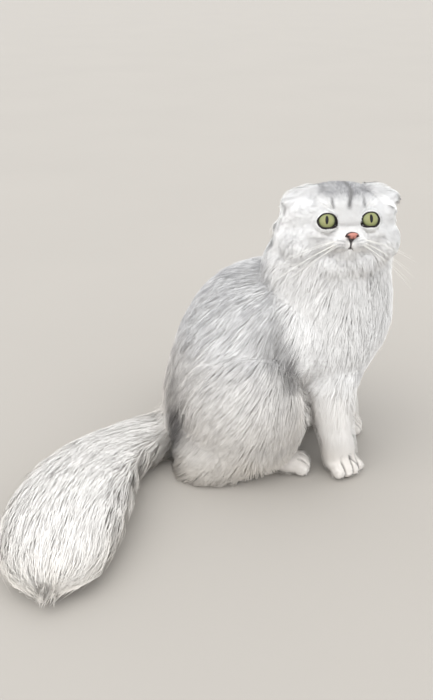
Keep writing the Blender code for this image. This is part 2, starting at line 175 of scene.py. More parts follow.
# Right-side forms of the legs, mirrored for the left: centre, half sizes, turn in degrees
LEG_FLESH = (
    ((-0.066, 0.109, 0.073), (0.036, 0.058, 0.069), 6.0),
    ((-0.068, 0.138, 0.033), (0.032, 0.039, 0.031), 10.0),
    ((-0.064, 0.077, 0.079), (0.026, 0.031, 0.042), 0.0),
    ((-0.041, 0.061, 0.157), (0.028, 0.041, 0.049), 0.0),
    ((-0.060, 0.096, 0.0145), (0.016, 0.037, 0.0135), 8.0),
)
FOREPAW_FLESH = ((-0.0425, 0.0052, 0.0118), (0.0186, 0.0200, 0.0112), 0.0)
FOREPAW_TURNS = {-1.0: -44.0, 1.0: -14.0}    # the right forefoot points towards where the cat looks
HINDPAW_FLESH = ((-0.0530, 0.0617, 0.0118), (0.0172, 0.0228, 0.0112), 10.0)
TOE_HALF = (0.0052, 0.0082, 0.0074)
TOE_SPREAD = (-1.5, -0.5, 0.5, 1.5)
TOE_PITCH = 0.52               # one toe width, as a share of the paw's half width
TOE_INSET = 0.0055             # toe centre behind the paw's front edge
TOE_ARC = 0.0018               # how much further back the outer toes sit
TOE_RISE = 0.0008              # toe centre above its own half height
GAP_STEPS = (-1.0, 0.0, 1.0)   # the gaps between the toes, in toe widths from the middle
TOE_GAP = 0.0010
TOE_GAP_DEPTH = 0.0024
GAP_START = (0.34, 0.62)       # shares of the paw's length between which a gap deepens
GAP_FIELD = (0.2, 0.026)       # from which share of its length, and up to which height, there are gaps
GAP_WAY = (0.8, 0.6)           # how far back and down into the paw a gap goes
PAW_ROOM = (1.15, 1.3)         # what counts as on a paw, across and ahead, in its half sizes

# Meshes: rings of the forms with their sides and the steps between two given rows, then the skins
FORM_SIDES = 24
FORM_STEPS = 4
EAR_SIDES = 16
EAR_STEPS = 3
TOE_RINGS = 10
SKIN_VOXEL = 0.0027
SKIN_SMOOTHING = 3
SKIN_FLOOR = 0.0006            # lowest place of the skin
HULL_VOXEL = 0.0030
HULL_SMOOTHING = 2
HULL_GROWTH = 0.0006           # closes the thin gaps between the solids
WELD = 0.00001                 # vertices this near are one
# Where the skin's mesh is made finer. Face: half breadth and lowest rise. Paws: share ahead and height
FINE_FACE = ((0.037, -0.034), (0.035, -0.032))
FINE_PAWS = ((-0.6, 0.026), (0.25, 0.021))
FACE_BACK = 0.012              # the face lies ahead of this
FACE_TOP = 0.026               # and below this
UNWRAP_ANGLE = math.radians(66.0)
UNWRAP_MARGIN = 0.002

# Lie of the coat in the head's frame, for the left side or the middle:
# place, direction, length in mm, how much the hair strays, group
HEAD_LIE = (
    ((0.0, 0.045, -0.002), (0.0, -0.35, 0.94), 2.2, 0.10, "face"),
    ((0.0, 0.040, 0.010), (0.0, -0.45, 0.90), 3.0, 0.10, "face"),
    ((0.0, 0.032, 0.026), (0.0, -0.75, 0.66), 5.0, 0.12, "face"),
    ((0.010, 0.041, 0.004), (0.35, -0.35, 0.85), 2.6, 0.10, "face"),
    ((0.020, 0.036, 0.017), (0.40, -0.50, 0.76), 4.5, 0.12, "face"),
    ((0.034, 0.024, 0.010), (0.80, -0.50, 0.20), 7.0, 0.16, "face"),
    ((0.034, 0.024, -0.002), (0.86, -0.45, -0.22), 8.0, 0.16, "face"),
    ((0.022, 0.036, -0.011), (0.84, -0.35, -0.40), 6.0, 0.14, "face"),
    ((0.010, 0.041, -0.004), (0.45, -0.40, 0.10), 2.4, 0.10, "face"),
    ((0.010, 0.045, -0.014), (0.86, -0.40, -0.20), 3.2, 0.12, "face"),
    ((0.019, 0.036, -0.018), (0.80, -0.30, -0.52), 7.0, 0.16, "face"),
    ((0.003, 0.047, -0.018), (0.60, -0.10, -0.78), 2.8, 0.12, "face"),
    ((0.0, 0.037, -0.027), (0.0, -0.15, -1.0), 8.0, 0.16, "face"),
    ((0.012, 0.031, -0.029), (0.30, -0.10, -0.94), 14.0, 0.18, "cheek"),
    ((0.0, 0.008, 0.038), (0.0, -1.0, 0.05), 9.0, 0.14, "crown"),
    ((0.020, 0.004, 0.036), (0.45, -0.90, 0.0), 9.0, 0.16, "crown"),
    ((0.030, -0.015, 0.026), (0.45, -0.80, -0.35), 14.0, 0.18, "crown"),
    ((0.0, -0.040, 0.012), (0.0, -0.45, -0.90), 20.0, 0.18, "crown"),
    ((0.046, 0.010, 0.010), (0.88, -0.30, -0.36), 15.0, 0.24, "cheek"),
    ((0.047, 0.012, -0.008), (0.76, -0.25, -0.60), 19.0, 0.24, "cheek"),
    ((0.040, 0.020, -0.022), (0.58, -0.10, -0.80), 20.0, 0.24, "cheek"),
    ((0.048, -0.015, -0.015), (0.62, -0.45, -0.65), 24.0, 0.24, "cheek"),
    ((0.026, 0.022, -0.036), (0.28, -0.02, -0.96), 26.0, 0.22, "cheek"),
    ((0.0, 0.022, -0.042), (0.0, 0.10, -1.0), 26.0, 0.20, "ruff"),
)
EAR_LIE = (
    ((0.024, 0.010, 0.036), (0.80, 0.35, -0.30), 6.0, 0.16, "crown"),
    ((0.036, 0.012, 0.031), (0.86, 0.25, -0.40), 6.0, 0.18, "crown"),
    ((0.048, 0.012, 0.026), (0.90, 0.10, -0.40), 12.0, 0.24, "crown"),
    ((0.057, 0.008, 0.022), (0.88, -0.05, -0.46), 17.0, 0.32, "crown"),
    ((0.040, 0.018, 0.020), (0.74, 0.10, -0.66), 15.0, 0.24, "crown"),
)
# Lie of the coat in the cat's frame, for the right side or the middle
BODY_LIE = (
    ((0.0, 0.085, 0.225), (0.0, 0.75, -0.65), 32.0, 0.14, "back"),
    ((0.0, 0.150, 0.185), (0.0, 0.50, -0.86), 36.0, 0.12, "back"),
    ((0.0, 0.195, 0.120), (0.0, 0.15, -0.98), 38.0, 0.12, "back"),
    ((0.0, 0.205, 0.055), (0.0, 0.30, -0.95), 40.0, 0.14, "rump"),
    ((-0.070, 0.080, 0.195), (-0.05, 0.55, -0.83), 34.0, 0.14, "back"),
    ((-0.080, 0.120, 0.150), (-0.05, 0.50, -0.85), 36.0, 0.14, "flank"),
    ((-0.060, 0.170, 0.130), (0.0, 0.35, -0.93), 36.0, 0.14, "flank"),
    ((-0.080, 0.070, 0.130), (0.0, 0.50, -0.86), 34.0, 0.14, "flank"),
    ((-0.105, 0.065, 0.105), (0.0, 0.35, -0.93), 30.0, 0.14, "haunch"),
    ((-0.110, 0.100, 0.120), (-0.05, 0.60, -0.80), 34.0, 0.14, "haunch"),
    ((-0.112, 0.110, 0.070), (0.0, 0.62, -0.78), 36.0, 0.14, "haunch"),
    ((-0.100, 0.065, 0.055), (0.0, 0.45, -0.88), 26.0, 0.14, "haunch"),
    ((-0.095, 0.170, 0.070), (-0.05, 0.40, -0.90), 40.0, 0.14, "haunch"),
    ((-0.095, 0.130, 0.025), (-0.15, 0.60, -0.60), 32.0, 0.16, "haunch"),
    ((-0.085, 0.175, 0.020), (-0.10, 0.60, -0.55), 34.0, 0.18, "rump"),
    ((0.0, -0.030, 0.235), (0.0, -0.25, -0.97), 40.0, 0.16, "ruff"),
    ((-0.050, -0.010, 0.235), (-0.35, -0.10, -0.93), 40.0, 0.18, "ruff"),
    ((-0.065, 0.040, 0.230), (-0.30, 0.30, -0.90), 40.0, 0.18, "ruff"),
    ((0.0, -0.040, 0.190), (0.0, -0.12, -0.99), 48.0, 0.14, "ruff"),
    ((-0.055, -0.015, 0.185), (-0.15, -0.05, -0.98), 48.0, 0.16, "ruff"),
    ((-0.065, 0.040, 0.185), (-0.12, 0.22, -0.97), 46.0, 0.16, "ruff"),
    ((0.0, -0.030, 0.145), (0.0, 0.05, -1.0), 46.0, 0.14, "chest"),
    ((-0.055, 0.0, 0.140), (0.0, 0.08, -1.0), 44.0, 0.14, "chest"),
    ((-0.060, 0.045, 0.135), (0.0, 0.30, -0.95), 36.0, 0.14, "chest"),
    ((0.0, 0.0, 0.105), (0.0, 0.20, -0.98), 30.0, 0.16, "chest"),
    ((-0.045, -0.005, 0.100), (-0.02, 0.02, -1.0), 22.0, 0.12, "leg"),
    ((-0.045, 0.045, 0.100), (-0.02, 0.35, -0.94), 22.0, 0.14, "leg"),
    ((-0.040, -0.008, 0.060), (0.0, 0.02, -1.0), 11.0, 0.12, "leg"),
    ((-0.040, 0.040, 0.060), (0.0, 0.25, -0.96), 14.0, 0.14, "leg"),
    ((-0.040, -0.012, 0.034), (0.0, -0.35, -0.93), 7.0, 0.12, "leg"),
    ((-0.041, 0.030, 0.025), (0.0, 0.20, -0.95), 9.0, 0.14, "leg"),
    ((-0.046, -0.008, 0.024), (-0.45, -0.75, -0.40), 4.0, 0.12, "leg"),
    ((-0.050, -0.010, 0.012), (-0.35, -0.50, -0.80), 2.6, 0.12, "leg"),
    ((-0.053, 0.055, 0.024), (0.0, -0.95, -0.25), 4.5, 0.12, "leg"),
    ((-0.053, 0.037, 0.012), (0.0, -0.60, -0.80), 2.8, 0.12, "leg"),
    ((-0.062, 0.080, 0.030), (0.0, -0.55, -0.80), 12.0, 0.14, "leg"),
    ((0.0, 0.080, 0.060), (0.0, 0.20, -0.95), 24.0, 0.18, "rump"),
)
TAIL_LENGTHS = (40.0, 50.0, 56.0, 58.0, 54.0, 48.0)    # from the second row of its core on
TAIL_STRAY = 0.08
GROUPS = ("face", "crown", "cheek", "ruff", "chest", "back", "flank", "haunch", "rump", "leg", "tail")
# Tufts in each group of the coat, and rings along each of its tufts with its tip
TUFTS = {
    "face": (12000, 3), "crown": (7000, 4), "cheek": (8500, 4), "ruff": (11500, 4), "chest": (7000, 4),
    "back": (8000, 4), "flank": (7500, 4), "haunch": (10500, 4), "rump": (5000, 4), "leg": (11000, 3),
    "tail": (14500, 4),
}
# How far past the coat's outline a group's hair may stand
FLUFF = {"cheek": 1.25, "crown": 1.15, "ruff": 1.06, "tail": 1.05}
LIE_BLUR = 1e-6                # softens the lie right at a known place, in square metres
LIE_FALL = -2.2                # how fast a known place loses its say with squared distance
BATCH = 20000                  # points worked out at a time

# Where no hair grows
EYE_ROOM = 0.004               # the eyes' openings reach this far off the eye
HAIR_MARGIN = 0.05             # and this far past the lids' edge, as an angle
NOSE_FRONT = 0.035             # the nose pad lies ahead of this
UNDER_NOSE = (0.0021, -0.0165, 0.0060, 0.030)    # half breadth, rise, half height, ahead of this
BARE_MOUTH = 0.35
BARE_GAP = 0.10

# How the tufts are spread: they crowd where the hair is short, and are few underneath
CROWDING = 0.85
CROWDING_START = 1.5           # in mm
UNDERSIDE = (0.0020, 0.10)     # below this height only this share grows

# Growth of the guide hairs; shares are of the hair's length unless said
GUIDE_STEPS = 6
STRANDS_PER_LOCK = 12
SEARCH_ROOM = 0.075            # how far out the coat's outline is looked for
DEPTH_SHARES = (0.88, 1.0)     # how near the outline a guide rises, as shares of the room
DEPTH_LEAST = 0.0008
DEPTH_MOST = 0.86
RUN_LEAST = 0.35
ROOM_GROWTH = (1.25, 0.002)    # the most that the room may grow along a hair: times, plus
ROOM_LEAST = 0.0006
HEIGHT_MOST = 0.9
ROOM_FLOOR = 1e-6              # keeps a division from zero
RISE_POWER = 2.8               # how early a hair rises
SWAY = (0.4, 1.0)
WAVE_HEIGHT = 0.035
WAVE_TURN = 5.0

# Tufts between the guides
GUIDES_SEEN = 8
GUIDES_FOLLOWED = 4
TURN_COST = 0.006              # distance that a guide on a surface turned away counts as further
GUIDE_BLUR = 0.0018
LOCK_PULL = 0.42               # most that a tuft's tip is drawn to its lock
PULL_POWER = 1.4
TIP_STRAY = 0.045              # as a share of the length
STRAY_FLATTENED = 0.7          # share of the stray off the surface that is taken away
HAIR_FLOOR = 0.0007
GROWN = (0.62, 1.0, 1.0)       # share of its path that a tuft has grown: least, likeliest, most
TUFT_WIDTH = (0.31, 0.0085)    # in mm: at no length, and more for each mm of length
WIDTH_SHARES = (0.7, 1.25)
TAPER = ((0.0, 0.25, 0.6, 1.0), (0.75, 1.0, 0.8, 0.0))    # width along a tuft
TUFT_BASE = 0.12               # depth of a tuft's flat side below its middle, in half widths
TUFT_RIDGE = 0.42              # height of its ridge
OWN_SHADE = 0.10               # share of a tuft's own normal in its shading; the rest is the body's
PATCH_SIZE = 0.003             # a tuft's patch on the unwrap
PIECE_TRIANGLES = 195000
SILVER_GROUPS = ("back", "flank", "haunch", "rump")

# Silver ruff edge on the body: height, and how far back it lies
RUFF_EDGE = ((0.060, 0.045), (0.100, 0.040), (0.128, 0.045), (0.171, 0.066), (0.237, 0.094), (0.260, 0.100))
# Darker and lighter places, in pairs: centre, breadth, strength
DARK_PLACES = (
    ((0.084, 0.186, 0.055), (0.026, 0.019, 0.034), 1.5),
    ((0.074, 0.190, 0.095), (0.024, 0.014, 0.034), 0.7),
    # The next two follow the crease between the chest and the flank: brownish grey hair with painted shade
    # for the crease
    ((0.078, 0.060, 0.128), (0.022, 0.010, 0.030), 0.8),
    ((0.074, 0.073, 0.165), (0.022, 0.009, 0.034), 0.5),
)
PALE_PLACES = (
    ((0.080, 0.115, 0.160), (0.030, 0.034, 0.020), 0.40),
    ((0.110, 0.150, 0.020), (0.040, 0.040, 0.026), 0.55),
    ((0.105, 0.100, 0.090), (0.040, 0.050, 0.050), 0.55),
)
MUZZLE = ((0.0, 0.045, -0.016), (0.03, 0.022, 0.018))    # its middle in the head's frame, and breadth
HEAD_FLOOR = -0.036            # the head's marks hold above this rise
HEAD_REACH = 0.07              # and this near its middle
SHORT_LENGTHS = (16.0, 6.0)    # hair lengths in mm from long to short
TAIL_SILVER = 0.10
# Dark marks include painted shade in the chest crease; bare lines include painted shade in the toe grooves
DARK_MOST = 0.95               # most that a dark mark or a bare line covers

# Colours, linear
WHITE_HAIR = (0.955, 0.953, 0.950)
CREAM_HAIR = (0.84, 0.785, 0.71)
SILVER_TIP = (0.200, 0.200, 0.215)
WARM_TIP = (0.225, 0.195, 0.180)
# Dark hair tips, also used for the painted shade in the chest crease
DARK_TIP_AND_CREASE_SHADE = (0.030, 0.026, 0.027)
# Painted shade: short hair on the face and paws is darkened, to even it with the self-shadowed long coat
SHORT_HAIR_PAINTED_SHADE = (0.40, 0.39, 0.38)
SHORT_AMOUNT = 0.32
COOL_TONE = (0.55, 0.56, 0.60)
SKIN_PINK = (0.70, 0.45, 0.40)
# Dark bare lips, also used for the painted shade in the grooves between the toes
BARE_SKIN_AND_TOE_SHADE = (0.035, 0.028, 0.028)
IRIS_RINGS = (
    (0.00, (0.21, 0.18, 0.07)), (0.22, (0.28, 0.27, 0.12)), (0.50, (0.27, 0.275, 0.13)),
    (0.61, (0.21, 0.22, 0.10)), (0.68, (0.06, 0.065, 0.03)), (0.73, (0.010, 0.009, 0.008)),
)
IRIS_SPOKES = (0.10, 0.14, 0.04)
# Painted shade for the top of the iris, as under the upper lid
IRIS_TOP_PAINTED_SHADE = (0.10, 0.12, 0.05)
IRIS_EDGE = (0.010, 0.009, 0.008)
PUPIL = (0.003, 0.003, 0.003)
PUPIL_HALF = (0.140, 0.37)     # half sizes of the slit across and up, in eye radii
RIM_COLOURS = ((0.012, 0.010, 0.010), (0.030, 0.024, 0.022))
NOSE_COLOURS = ((0.47, 0.195, 0.150), (0.36, 0.135, 0.105))
# The leather's dark outline, also used for the painted shade in the nostrils
NOSE_EDGE_AND_NOSTRIL_SHADE = (0.022, 0.016, 0.016)
WHISKER_COLOURS = ((0.93, 0.92, 0.89), (0.90, 0.87, 0.80))
FLOOR_COLOURS = ((0.345, 0.322, 0.294), (0.370, 0.345, 0.315))

# Whiskers, in the head's frame
WHISKER_ROOTS = ((0.0100, 0.0440, -0.0125), (0.0125, 0.0430, -0.0135), (0.0105, 0.0440, -0.0155),
                 (0.0135, 0.0420, -0.0165), (0.0115, 0.0430, -0.0185), (0.0145, 0.0405, -0.0190))
WHISKER_REACH = 0.064
WHISKER_WAY = (-0.20, -0.22)   # ahead and up for each step out, for the top whisker
WHISKER_FAN = 0.09             # how much lower each next one points
WHISKER_JITTER = (0.08, 0.06)  # chance turns of both
WHISKER_SHARES = (0.85, 1.05)  # of the reach
WHISKER_HALF = 0.00019
WHISKER_DROOP = (-0.12, -0.16)  # back and down at the tip, as shares of the length
WHISKER_TAPER = 0.8
WHISKER_STEPS = 9
WHISKER_SIDES = 5
BROW_WHISKERS = 3
BROW_REACH = 0.020
BROW_HALF = 0.00016
BROW_ROOT = (0.016, 0.0370, 0.0165)
BROW_WAY = (0.5, 0.10, 0.75)
BROW_STEPS = (0.003, 0.15)     # how much further out each next one starts and points

# Stage: the camera's place and heading, and the lights with place, strength, breadth and colour
CAMERA_PLACE = (-0.6603, -0.1508, 0.49)
CAMERA_HEADING = (0.9781, 0.2079)
CAMERA_PITCH = math.radians(26.0)
CAMERA_LENS = 39.6
SENSOR_WIDTH = 36.0
FLOOR_HALF = 30.0
LIGHTS = (
    ("key", (-0.9, 0.6, 1.25), 1.4, 60.0, (1.0, 0.985, 0.96)),
    ("fill", (-0.9, -0.9, 0.7), 0.7, 80.0, (0.96, 0.98, 1.0)),
)
SURROUND = ((0.96, 0.98, 1.0, 1.0), 1.5)


def head_axes():
    """Unit vectors of the head: its left side, its face direction and its up."""
    ahead = Vector((-math.sin(HEAD_TURN), -math.cos(HEAD_TURN), 0.0))
    left = Vector((math.cos(HEAD_TURN), -math.sin(HEAD_TURN), 0.0))
    up = Vector((0.0, 0.0, 1.0))
    face = ahead * math.cos(HEAD_LIFT) + up * math.sin(HEAD_LIFT)
    return left, face, up * math.cos(HEAD_LIFT) - ahead * math.sin(HEAD_LIFT)


HEAD_FRAME = np.array([list(axis) for axis in head_axes()])
HEAD_HOME = np.array(HEAD_CENTRE + HOME)


def on_head(side, forward, rise):
    """A point given in the head's own frame, in the cat's frame."""
    left, face, up = head_axes()
    return HEAD_CENTRE + left * side + face * forward + up * rise


def head_turn():
    """Head frame to world: X to its left, Y out of the back of the head, Z up."""
    left, face, up = head_axes()
    return Matrix((left, -face, up)).transposed().to_4x4()


def to_head(points):
    """World points in the head's frame: side, forward, rise."""
    return (points - HEAD_HOME) @ HEAD_FRAME.T


def from_head(points):
    """The same the other way."""
    return points @ HEAD_FRAME + HEAD_HOME


def unit(vectors):
    """Vectors of length one."""
    return vectors / np.maximum(np.linalg.norm(vectors, axis=-1, keepdims=True), TINY)


def hump(*parts):
    """1 in the middle, 0 far away; each part is a distance and its breadth."""
    return np.exp(-sum((distance / breadth) ** 2 for distance, breadth in parts))


def smooth_step(low, high, x):
    """0 at low, 1 at high and smooth between them; low may be the larger."""
    t = np.clip((x - low) / (high - low), 0.0, 1.0)
    return t * t * (3.0 - 2.0 * t)


# Forms

def link(name, mesh):
    """A new object for a mesh."""
    obj = bpy.data.objects.new(name, mesh)
    bpy.context.scene.collection.objects.link(obj)
    return obj


def from_bmesh(name, shape):
    """A new object from mesh code, with its faces turned outward."""
    mesh = bpy.data.meshes.new(name)
    bmesh.ops.recalc_face_normals(shape, faces=shape.faces[:])
    shape.to_mesh(mesh)
    shape.free()
    return link(name, mesh)


def ellipsoid(name, centre, half, turn=Matrix.Identity(4), rings=16):
    """A scaled sphere with half sizes along its own axes."""
    shape = bmesh.new()
    place = Matrix.Translation(centre) @ turn @ Matrix.Diagonal((*half, 1.0))
    bmesh.ops.create_uvsphere(shape, u_segments=2 * rings, v_segments=rings, radius=1.0, matrix=place)
    return from_bmesh(name, shape)


def curve_through(rows, steps):
    """Rows on a smooth curve through the given rows, with this many steps between two of them."""
    found = []
    for i in range(len(rows) - 1):
        first, second = rows[max(i - 1, 0)], rows[i]
        third, fourth = rows[i + 1], rows[min(i + 2, len(rows) - 1)]
        for step in range(steps):
            t = step / steps
            row = []
            for a, b, c, d in zip(first, second, third, fourth):
                bend = (2 * a - 5 * b + 4 * c - d) * t * t + (3 * b - a - 3 * c + d) * t ** 3
                row.append(0.5 * (2 * b + (c - a) * t + bend))
            found.append(row)
    return found + [list(rows[-1])]


def bridged(name, places, sides=FORM_SIDES):
    """A closed form through unit circles set by these matrices, with flat ends."""
    shape = bmesh.new()
    rings = []
    for place in places:
        made = bmesh.ops.create_circle(shape, segments=sides, radius=1.0, matrix=place)
        rings.append({edge for vert in made["verts"] for edge in vert.link_edges})
    for lower, upper in zip(rings, rings[1:]):
        bmesh.ops.bridge_loops(shape, edges=list(lower | upper))
    for ring in (rings[0], rings[-1]):
        bmesh.ops.contextual_create(shape, geom=list(ring))
    return from_bmesh(name, shape)


def stack(name, slices, side=1.0, moved_back=0.0):
    """A form through level slices."""
    places = []
    for height, across, back, half_across, half_deep in curve_through(slices, FORM_STEPS):
        centre = Vector((side * across, back + moved_back, height))
        places.append(Matrix.Translation(centre) @ Matrix.Diagonal((half_across, half_deep, 1.0, 1.0)))
    return bridged(name, places)


def run_along(name, stations):
    """A form along a level path."""
    rows = curve_through(stations, FORM_STEPS)
    points = [Vector(row[:3]) for row in rows]
    up = Vector((0.0, 0.0, 1.0))
    places = []
    for i, row in enumerate(rows):
        ahead = points[min(i + 1, len(points) - 1)] - points[max(i - 1, 0)]
        ahead.z = 0.0
        ahead.normalize()
        turn = Matrix((up.cross(ahead), up, ahead)).transposed().to_4x4()
        places.append(Matrix.Translation(points[i]) @ turn @ Matrix.Diagonal((row[3], row[4], 1.0, 1.0)))
    return bridged(name, places)


def ear_form(name, side):
    """The flap of a folded ear, forward and down over the side of the crown."""
    rows = curve_through(EAR_FLESH, EAR_STEPS)
    points = [Vector((side * row[0], -row[1], row[2])) for row in rows]
    down = Vector((0.0, -math.cos(EAR_SLOPE), -math.sin(EAR_SLOPE)))
    places = []
    for i, row in enumerate(rows):
        ahead = (points[min(i + 1, len(points) - 1)] - points[max(i - 1, 0)]).normalized()
        flap = (down - ahead * down.dot(ahead)).normalized()
        axes = Matrix((flap, ahead.cross(flap), ahead)).transposed().to_4x4()
        spot = Matrix.Translation(HEAD_CENTRE) @ head_turn() @ Matrix.Translation(points[i])
        places.append(spot @ axes @ Matrix.Diagonal((row[3], row[4], 1.0, 1.0)))
    return bridged(name, places, EAR_SIDES)


def pair_form(spec, side, moved_back=0.0):
    """One of a pair of body forms, from its right-side values."""
    centre, half, degrees = spec
    place = Vector((-side * centre[0], centre[1] + moved_back, centre[2]))
    return ellipsoid("form", place, half, Matrix.Rotation(math.radians(-side * degrees), 4, "Z"))


def toes(paw, side, moved_back=0.0):
    """Four rounded toes across the front of a paw."""
    centre, half, degrees = paw
    turn = Matrix.Rotation(math.radians(-side * degrees), 4, "Z")
    middle = Vector((-side * centre[0], centre[1] + moved_back, 0.0))
    found = []
    for step in TOE_SPREAD:
        reach = half[1] - TOE_INSET - TOE_ARC * abs(step) ** 1.5
        offset = turn @ Vector((step * half[0] * TOE_PITCH, -reach, TOE_HALF[2] + TOE_RISE))
        found.append(ellipsoid("toe", middle + offset, TOE_HALF, turn, rings=TOE_RINGS))
    return found


def in_paw(points, paw, side, moved_back):
    """Places in a paw's own frame: across, ahead, up."""
    centre, _, degrees = paw
    angle = math.radians(-side * degrees)
    gap = points - np.array((-side * centre[0], centre[1] + moved_back, 0.0)) - np.array(HOME)
    across = gap[:, 0] * math.cos(angle) + gap[:, 1] * math.sin(angle)
    ahead = gap[:, 0] * math.sin(angle) - gap[:, 1] * math.cos(angle)
    return np.column_stack([across, ahead, gap[:, 2]])


def every_paw():
    """Each paw with its side and its place back."""
    for side in (-1.0, 1.0):
        yield (*FOREPAW_FLESH[:2], FOREPAW_TURNS[side]), side, (LEFT_FORELEG_BACK if side > 0 else 0.0)
        yield HINDPAW_FLESH, side, 0.0


def on_paws(points, from_ahead, to_height):
    """True on the paws, from this share of their length forward and up to this height."""
    found = np.zeros(len(points), bool)
    for paw in every_paw():
        half = paw[0][1]
        across, ahead, up = in_paw(points, *paw).T
        found |= ((np.abs(across) < half[0] * PAW_ROOM[0]) & (ahead > from_ahead * half[1])
                  & (ahead < half[1] * PAW_ROOM[1]) & (up < to_height))
    return found


def toe_gaps(points):
    """1 in the grooves between the toes, 0 away from them, with the way back into the paw."""
    closeness, inward = np.zeros(len(points)), np.zeros((len(points), 3))
    for paw in every_paw():
        _, half, degrees = paw[0]
        angle = math.radians(-paw[1] * degrees)
        back = np.array((-math.sin(angle) * GAP_WAY[0], math.cos(angle) * GAP_WAY[0], -GAP_WAY[1]))
        across, ahead, _ = in_paw(points, *paw).T
        front = smooth_step(*GAP_START, ahead / half[1]) * on_paws(points, *GAP_FIELD)
        for step in GAP_STEPS:
            near = hump((across - step * half[0] * TOE_PITCH, TOE_GAP)) * front
            inward = np.where((near > closeness)[:, None], back, inward)
            closeness = np.maximum(near, closeness)
    return closeness, inward


def flesh_forms():
    """All the forms that the skin is drawn over, in the cat's frame."""
    turn = head_turn()
    forms = [ellipsoid("form", on_head(*place), half, turn) for place, half in HEAD_FLESH]
    forms += [stack("form", TRUNK_FLESH), stack("form", CHEST_FLESH), run_along("form", TAIL_FLESH)]
    for side in (-1.0, 1.0):
        for place, half in HEAD_FLESH_PAIRS:
            forms.append(ellipsoid("form", on_head(side * place[0], place[1], place[2]), half, turn))
        forms.append(ear_form("form", side))
        moved_back = LEFT_FORELEG_BACK if side > 0 else 0.0
        forms.append(stack("form", FORELEG_FLESH, side=-side, moved_back=moved_back))
        forms += [pair_form(spec, side) for spec in LEG_FLESH]
    for paw in every_paw():
        forms += [pair_form(*paw)] + toes(*paw)
    return forms


def joined(name, parts):
    """All parts in one mesh, still overlapping; the parts are removed."""
    shape = bmesh.new()
    for part in parts:
        shape.from_mesh(part.data)
        bpy.data.objects.remove(part)
    mesh = bpy.data.meshes.new(name)
    shape.to_mesh(mesh)
    shape.free()
    return link(name, mesh)


def remeshed(obj, name, voxel, smoothing):
    """The object as one closed skin."""
    remesh = obj.modifiers.new("remesh", "REMESH")
    remesh.mode = "VOXEL"
    remesh.voxel_size = voxel
    smooth = obj.modifiers.new("smooth", "SMOOTH")
    smooth.factor = 0.5
    smooth.iterations = smoothing
    bpy.context.view_layer.update()
    mesh = bpy.data.meshes.new_from_object(obj.evaluated_get(bpy.context.evaluated_depsgraph_get()))
    bpy.data.objects.remove(obj)
    return link(name, mesh)


def read(rows, key, width, kind=float):
    """A value of each row of a mesh, as an array."""
    values = np.empty(len(rows) * width, kind)
    rows.foreach_get(key, values)
    return values.reshape(-1, width)


def vertex_places(mesh):
    """Where the vertices are."""
    return read(mesh.vertices, "co", 3)


def set_places(mesh, places):
    """Moves the vertices."""
    mesh.vertices.foreach_set("co", places.ravel())
    mesh.update()


def coat_hull():
    """The outer form of the coat, from the CAD solids, with no inner walls."""
    shape = bmesh.new()
    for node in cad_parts.values():
        shape.from_mesh(node.data)
    bmesh.ops.remove_doubles(shape, verts=shape.verts, dist=WELD)
    shape.normal_update()
    for vert in shape.verts:
        vert.co += vert.normal * HULL_GROWTH
    mesh = bpy.data.meshes.new("hull")
    shape.to_mesh(mesh)
    shape.free()
    return remeshed(link("hull", mesh), "hull", HULL_VOXEL, HULL_SMOOTHING)


# Face

def eye_axes(side, lift=LID_LIFT, turned=0.0):
    """Rows across, ahead and up of one eye, in the head's frame."""
    turn = side * EYE_OUTWARD - turned
    level = np.array((math.sin(turn), math.cos(turn), 0.0))
    across = np.array((math.cos(turn), -math.sin(turn), 0.0))
    up = np.array((0.0, 0.0, 1.0))
    ahead = level * math.cos(lift) + up * math.sin(lift)
    return np.stack([across, ahead, up * math.cos(lift) - level * math.sin(lift)])


def eye_centre(side):
    """Middle of an eye, in the head's frame."""
    return np.array((side * EYE_SPACING / 2, EYE_FORWARD, EYE_RISE))


def opening_angle(turn):
    """Half angle of the lids' opening round the eye; turn 0 is outwards, a quarter is up."""
    inner_place, inner_breadth, inner_reach = INNER_CORNER
    outer_place, outer_breadth, outer_reach = OUTER_CORNER
    inner = hump((turn - inner_place, inner_breadth))
    outer = hump((np.where(turn > math.pi, turn - 2 * math.pi, turn) - outer_place, outer_breadth))
    wide = np.abs(np.cos(turn)) ** OPENING_POWERS[0]
    opening = OPENING_HIGH + (OPENING_WIDE - OPENING_HIGH) * wide
    lower = LOWER_LID * np.maximum(-np.sin(turn), 0.0) ** OPENING_POWERS[1]
    return opening - lower + inner_reach * inner + outer_reach * outer


def lid_turn(local, side):
    """Angle round the gaze axis, 0 outwards and a quarter up, from 0 to a full turn."""
    return np.arctan2(local[:, 2], side * local[:, 0]) % (2 * math.pi)


def round_eye(places, side):
    """Places in an eye's own frame, how far from its middle they are and how far past the lids' opening."""
    local = (places - eye_centre(side)) @ eye_axes(side).T
    distance = np.linalg.norm(local, axis=1)
    angle = np.arccos(np.clip(local[:, 1] / np.maximum(distance, TINY), -1, 1))
    return local, distance, angle, angle - opening_angle(lid_turn(local, side))


def shape_lids(places, side):
    """Draws the skin onto the eyeball as lids and opens them."""
    local, distance, angle, past = round_eye(places, side)
    near = (distance < LID_FIELD) & (angle < LID_FIELD_ANGLE)
    blend = smooth_step(0.0, LID_REACH, past)
    lid = EYE_RADIUS + LID_THICKNESS
    outside = lid * (1 - blend) + np.maximum(distance, lid) * blend
    wanted = np.where(past > 0, outside, EYE_RADIUS - LID_SINK)
    scale = np.where(near, wanted / np.maximum(distance, TINY), 1.0)
    return eye_centre(side) + (local * scale[:, None]) @ eye_axes(side)


def line_distance(side, rise, line):
    """Distance from points to an open line in the plane of the face."""
    best = np.full(side.shape, 1.0)
    for (x0, y0), (x1, y1) in zip(line, line[1:]):
        dx, dy = x1 - x0, y1 - y0
        t = np.clip(((side - x0) * dx + (rise - y0) * dy) / (dx * dx + dy * dy), 0, 1)
        best = np.minimum(best, np.hypot(side - x0 - t * dx, rise - y0 - t * dy))
    return best


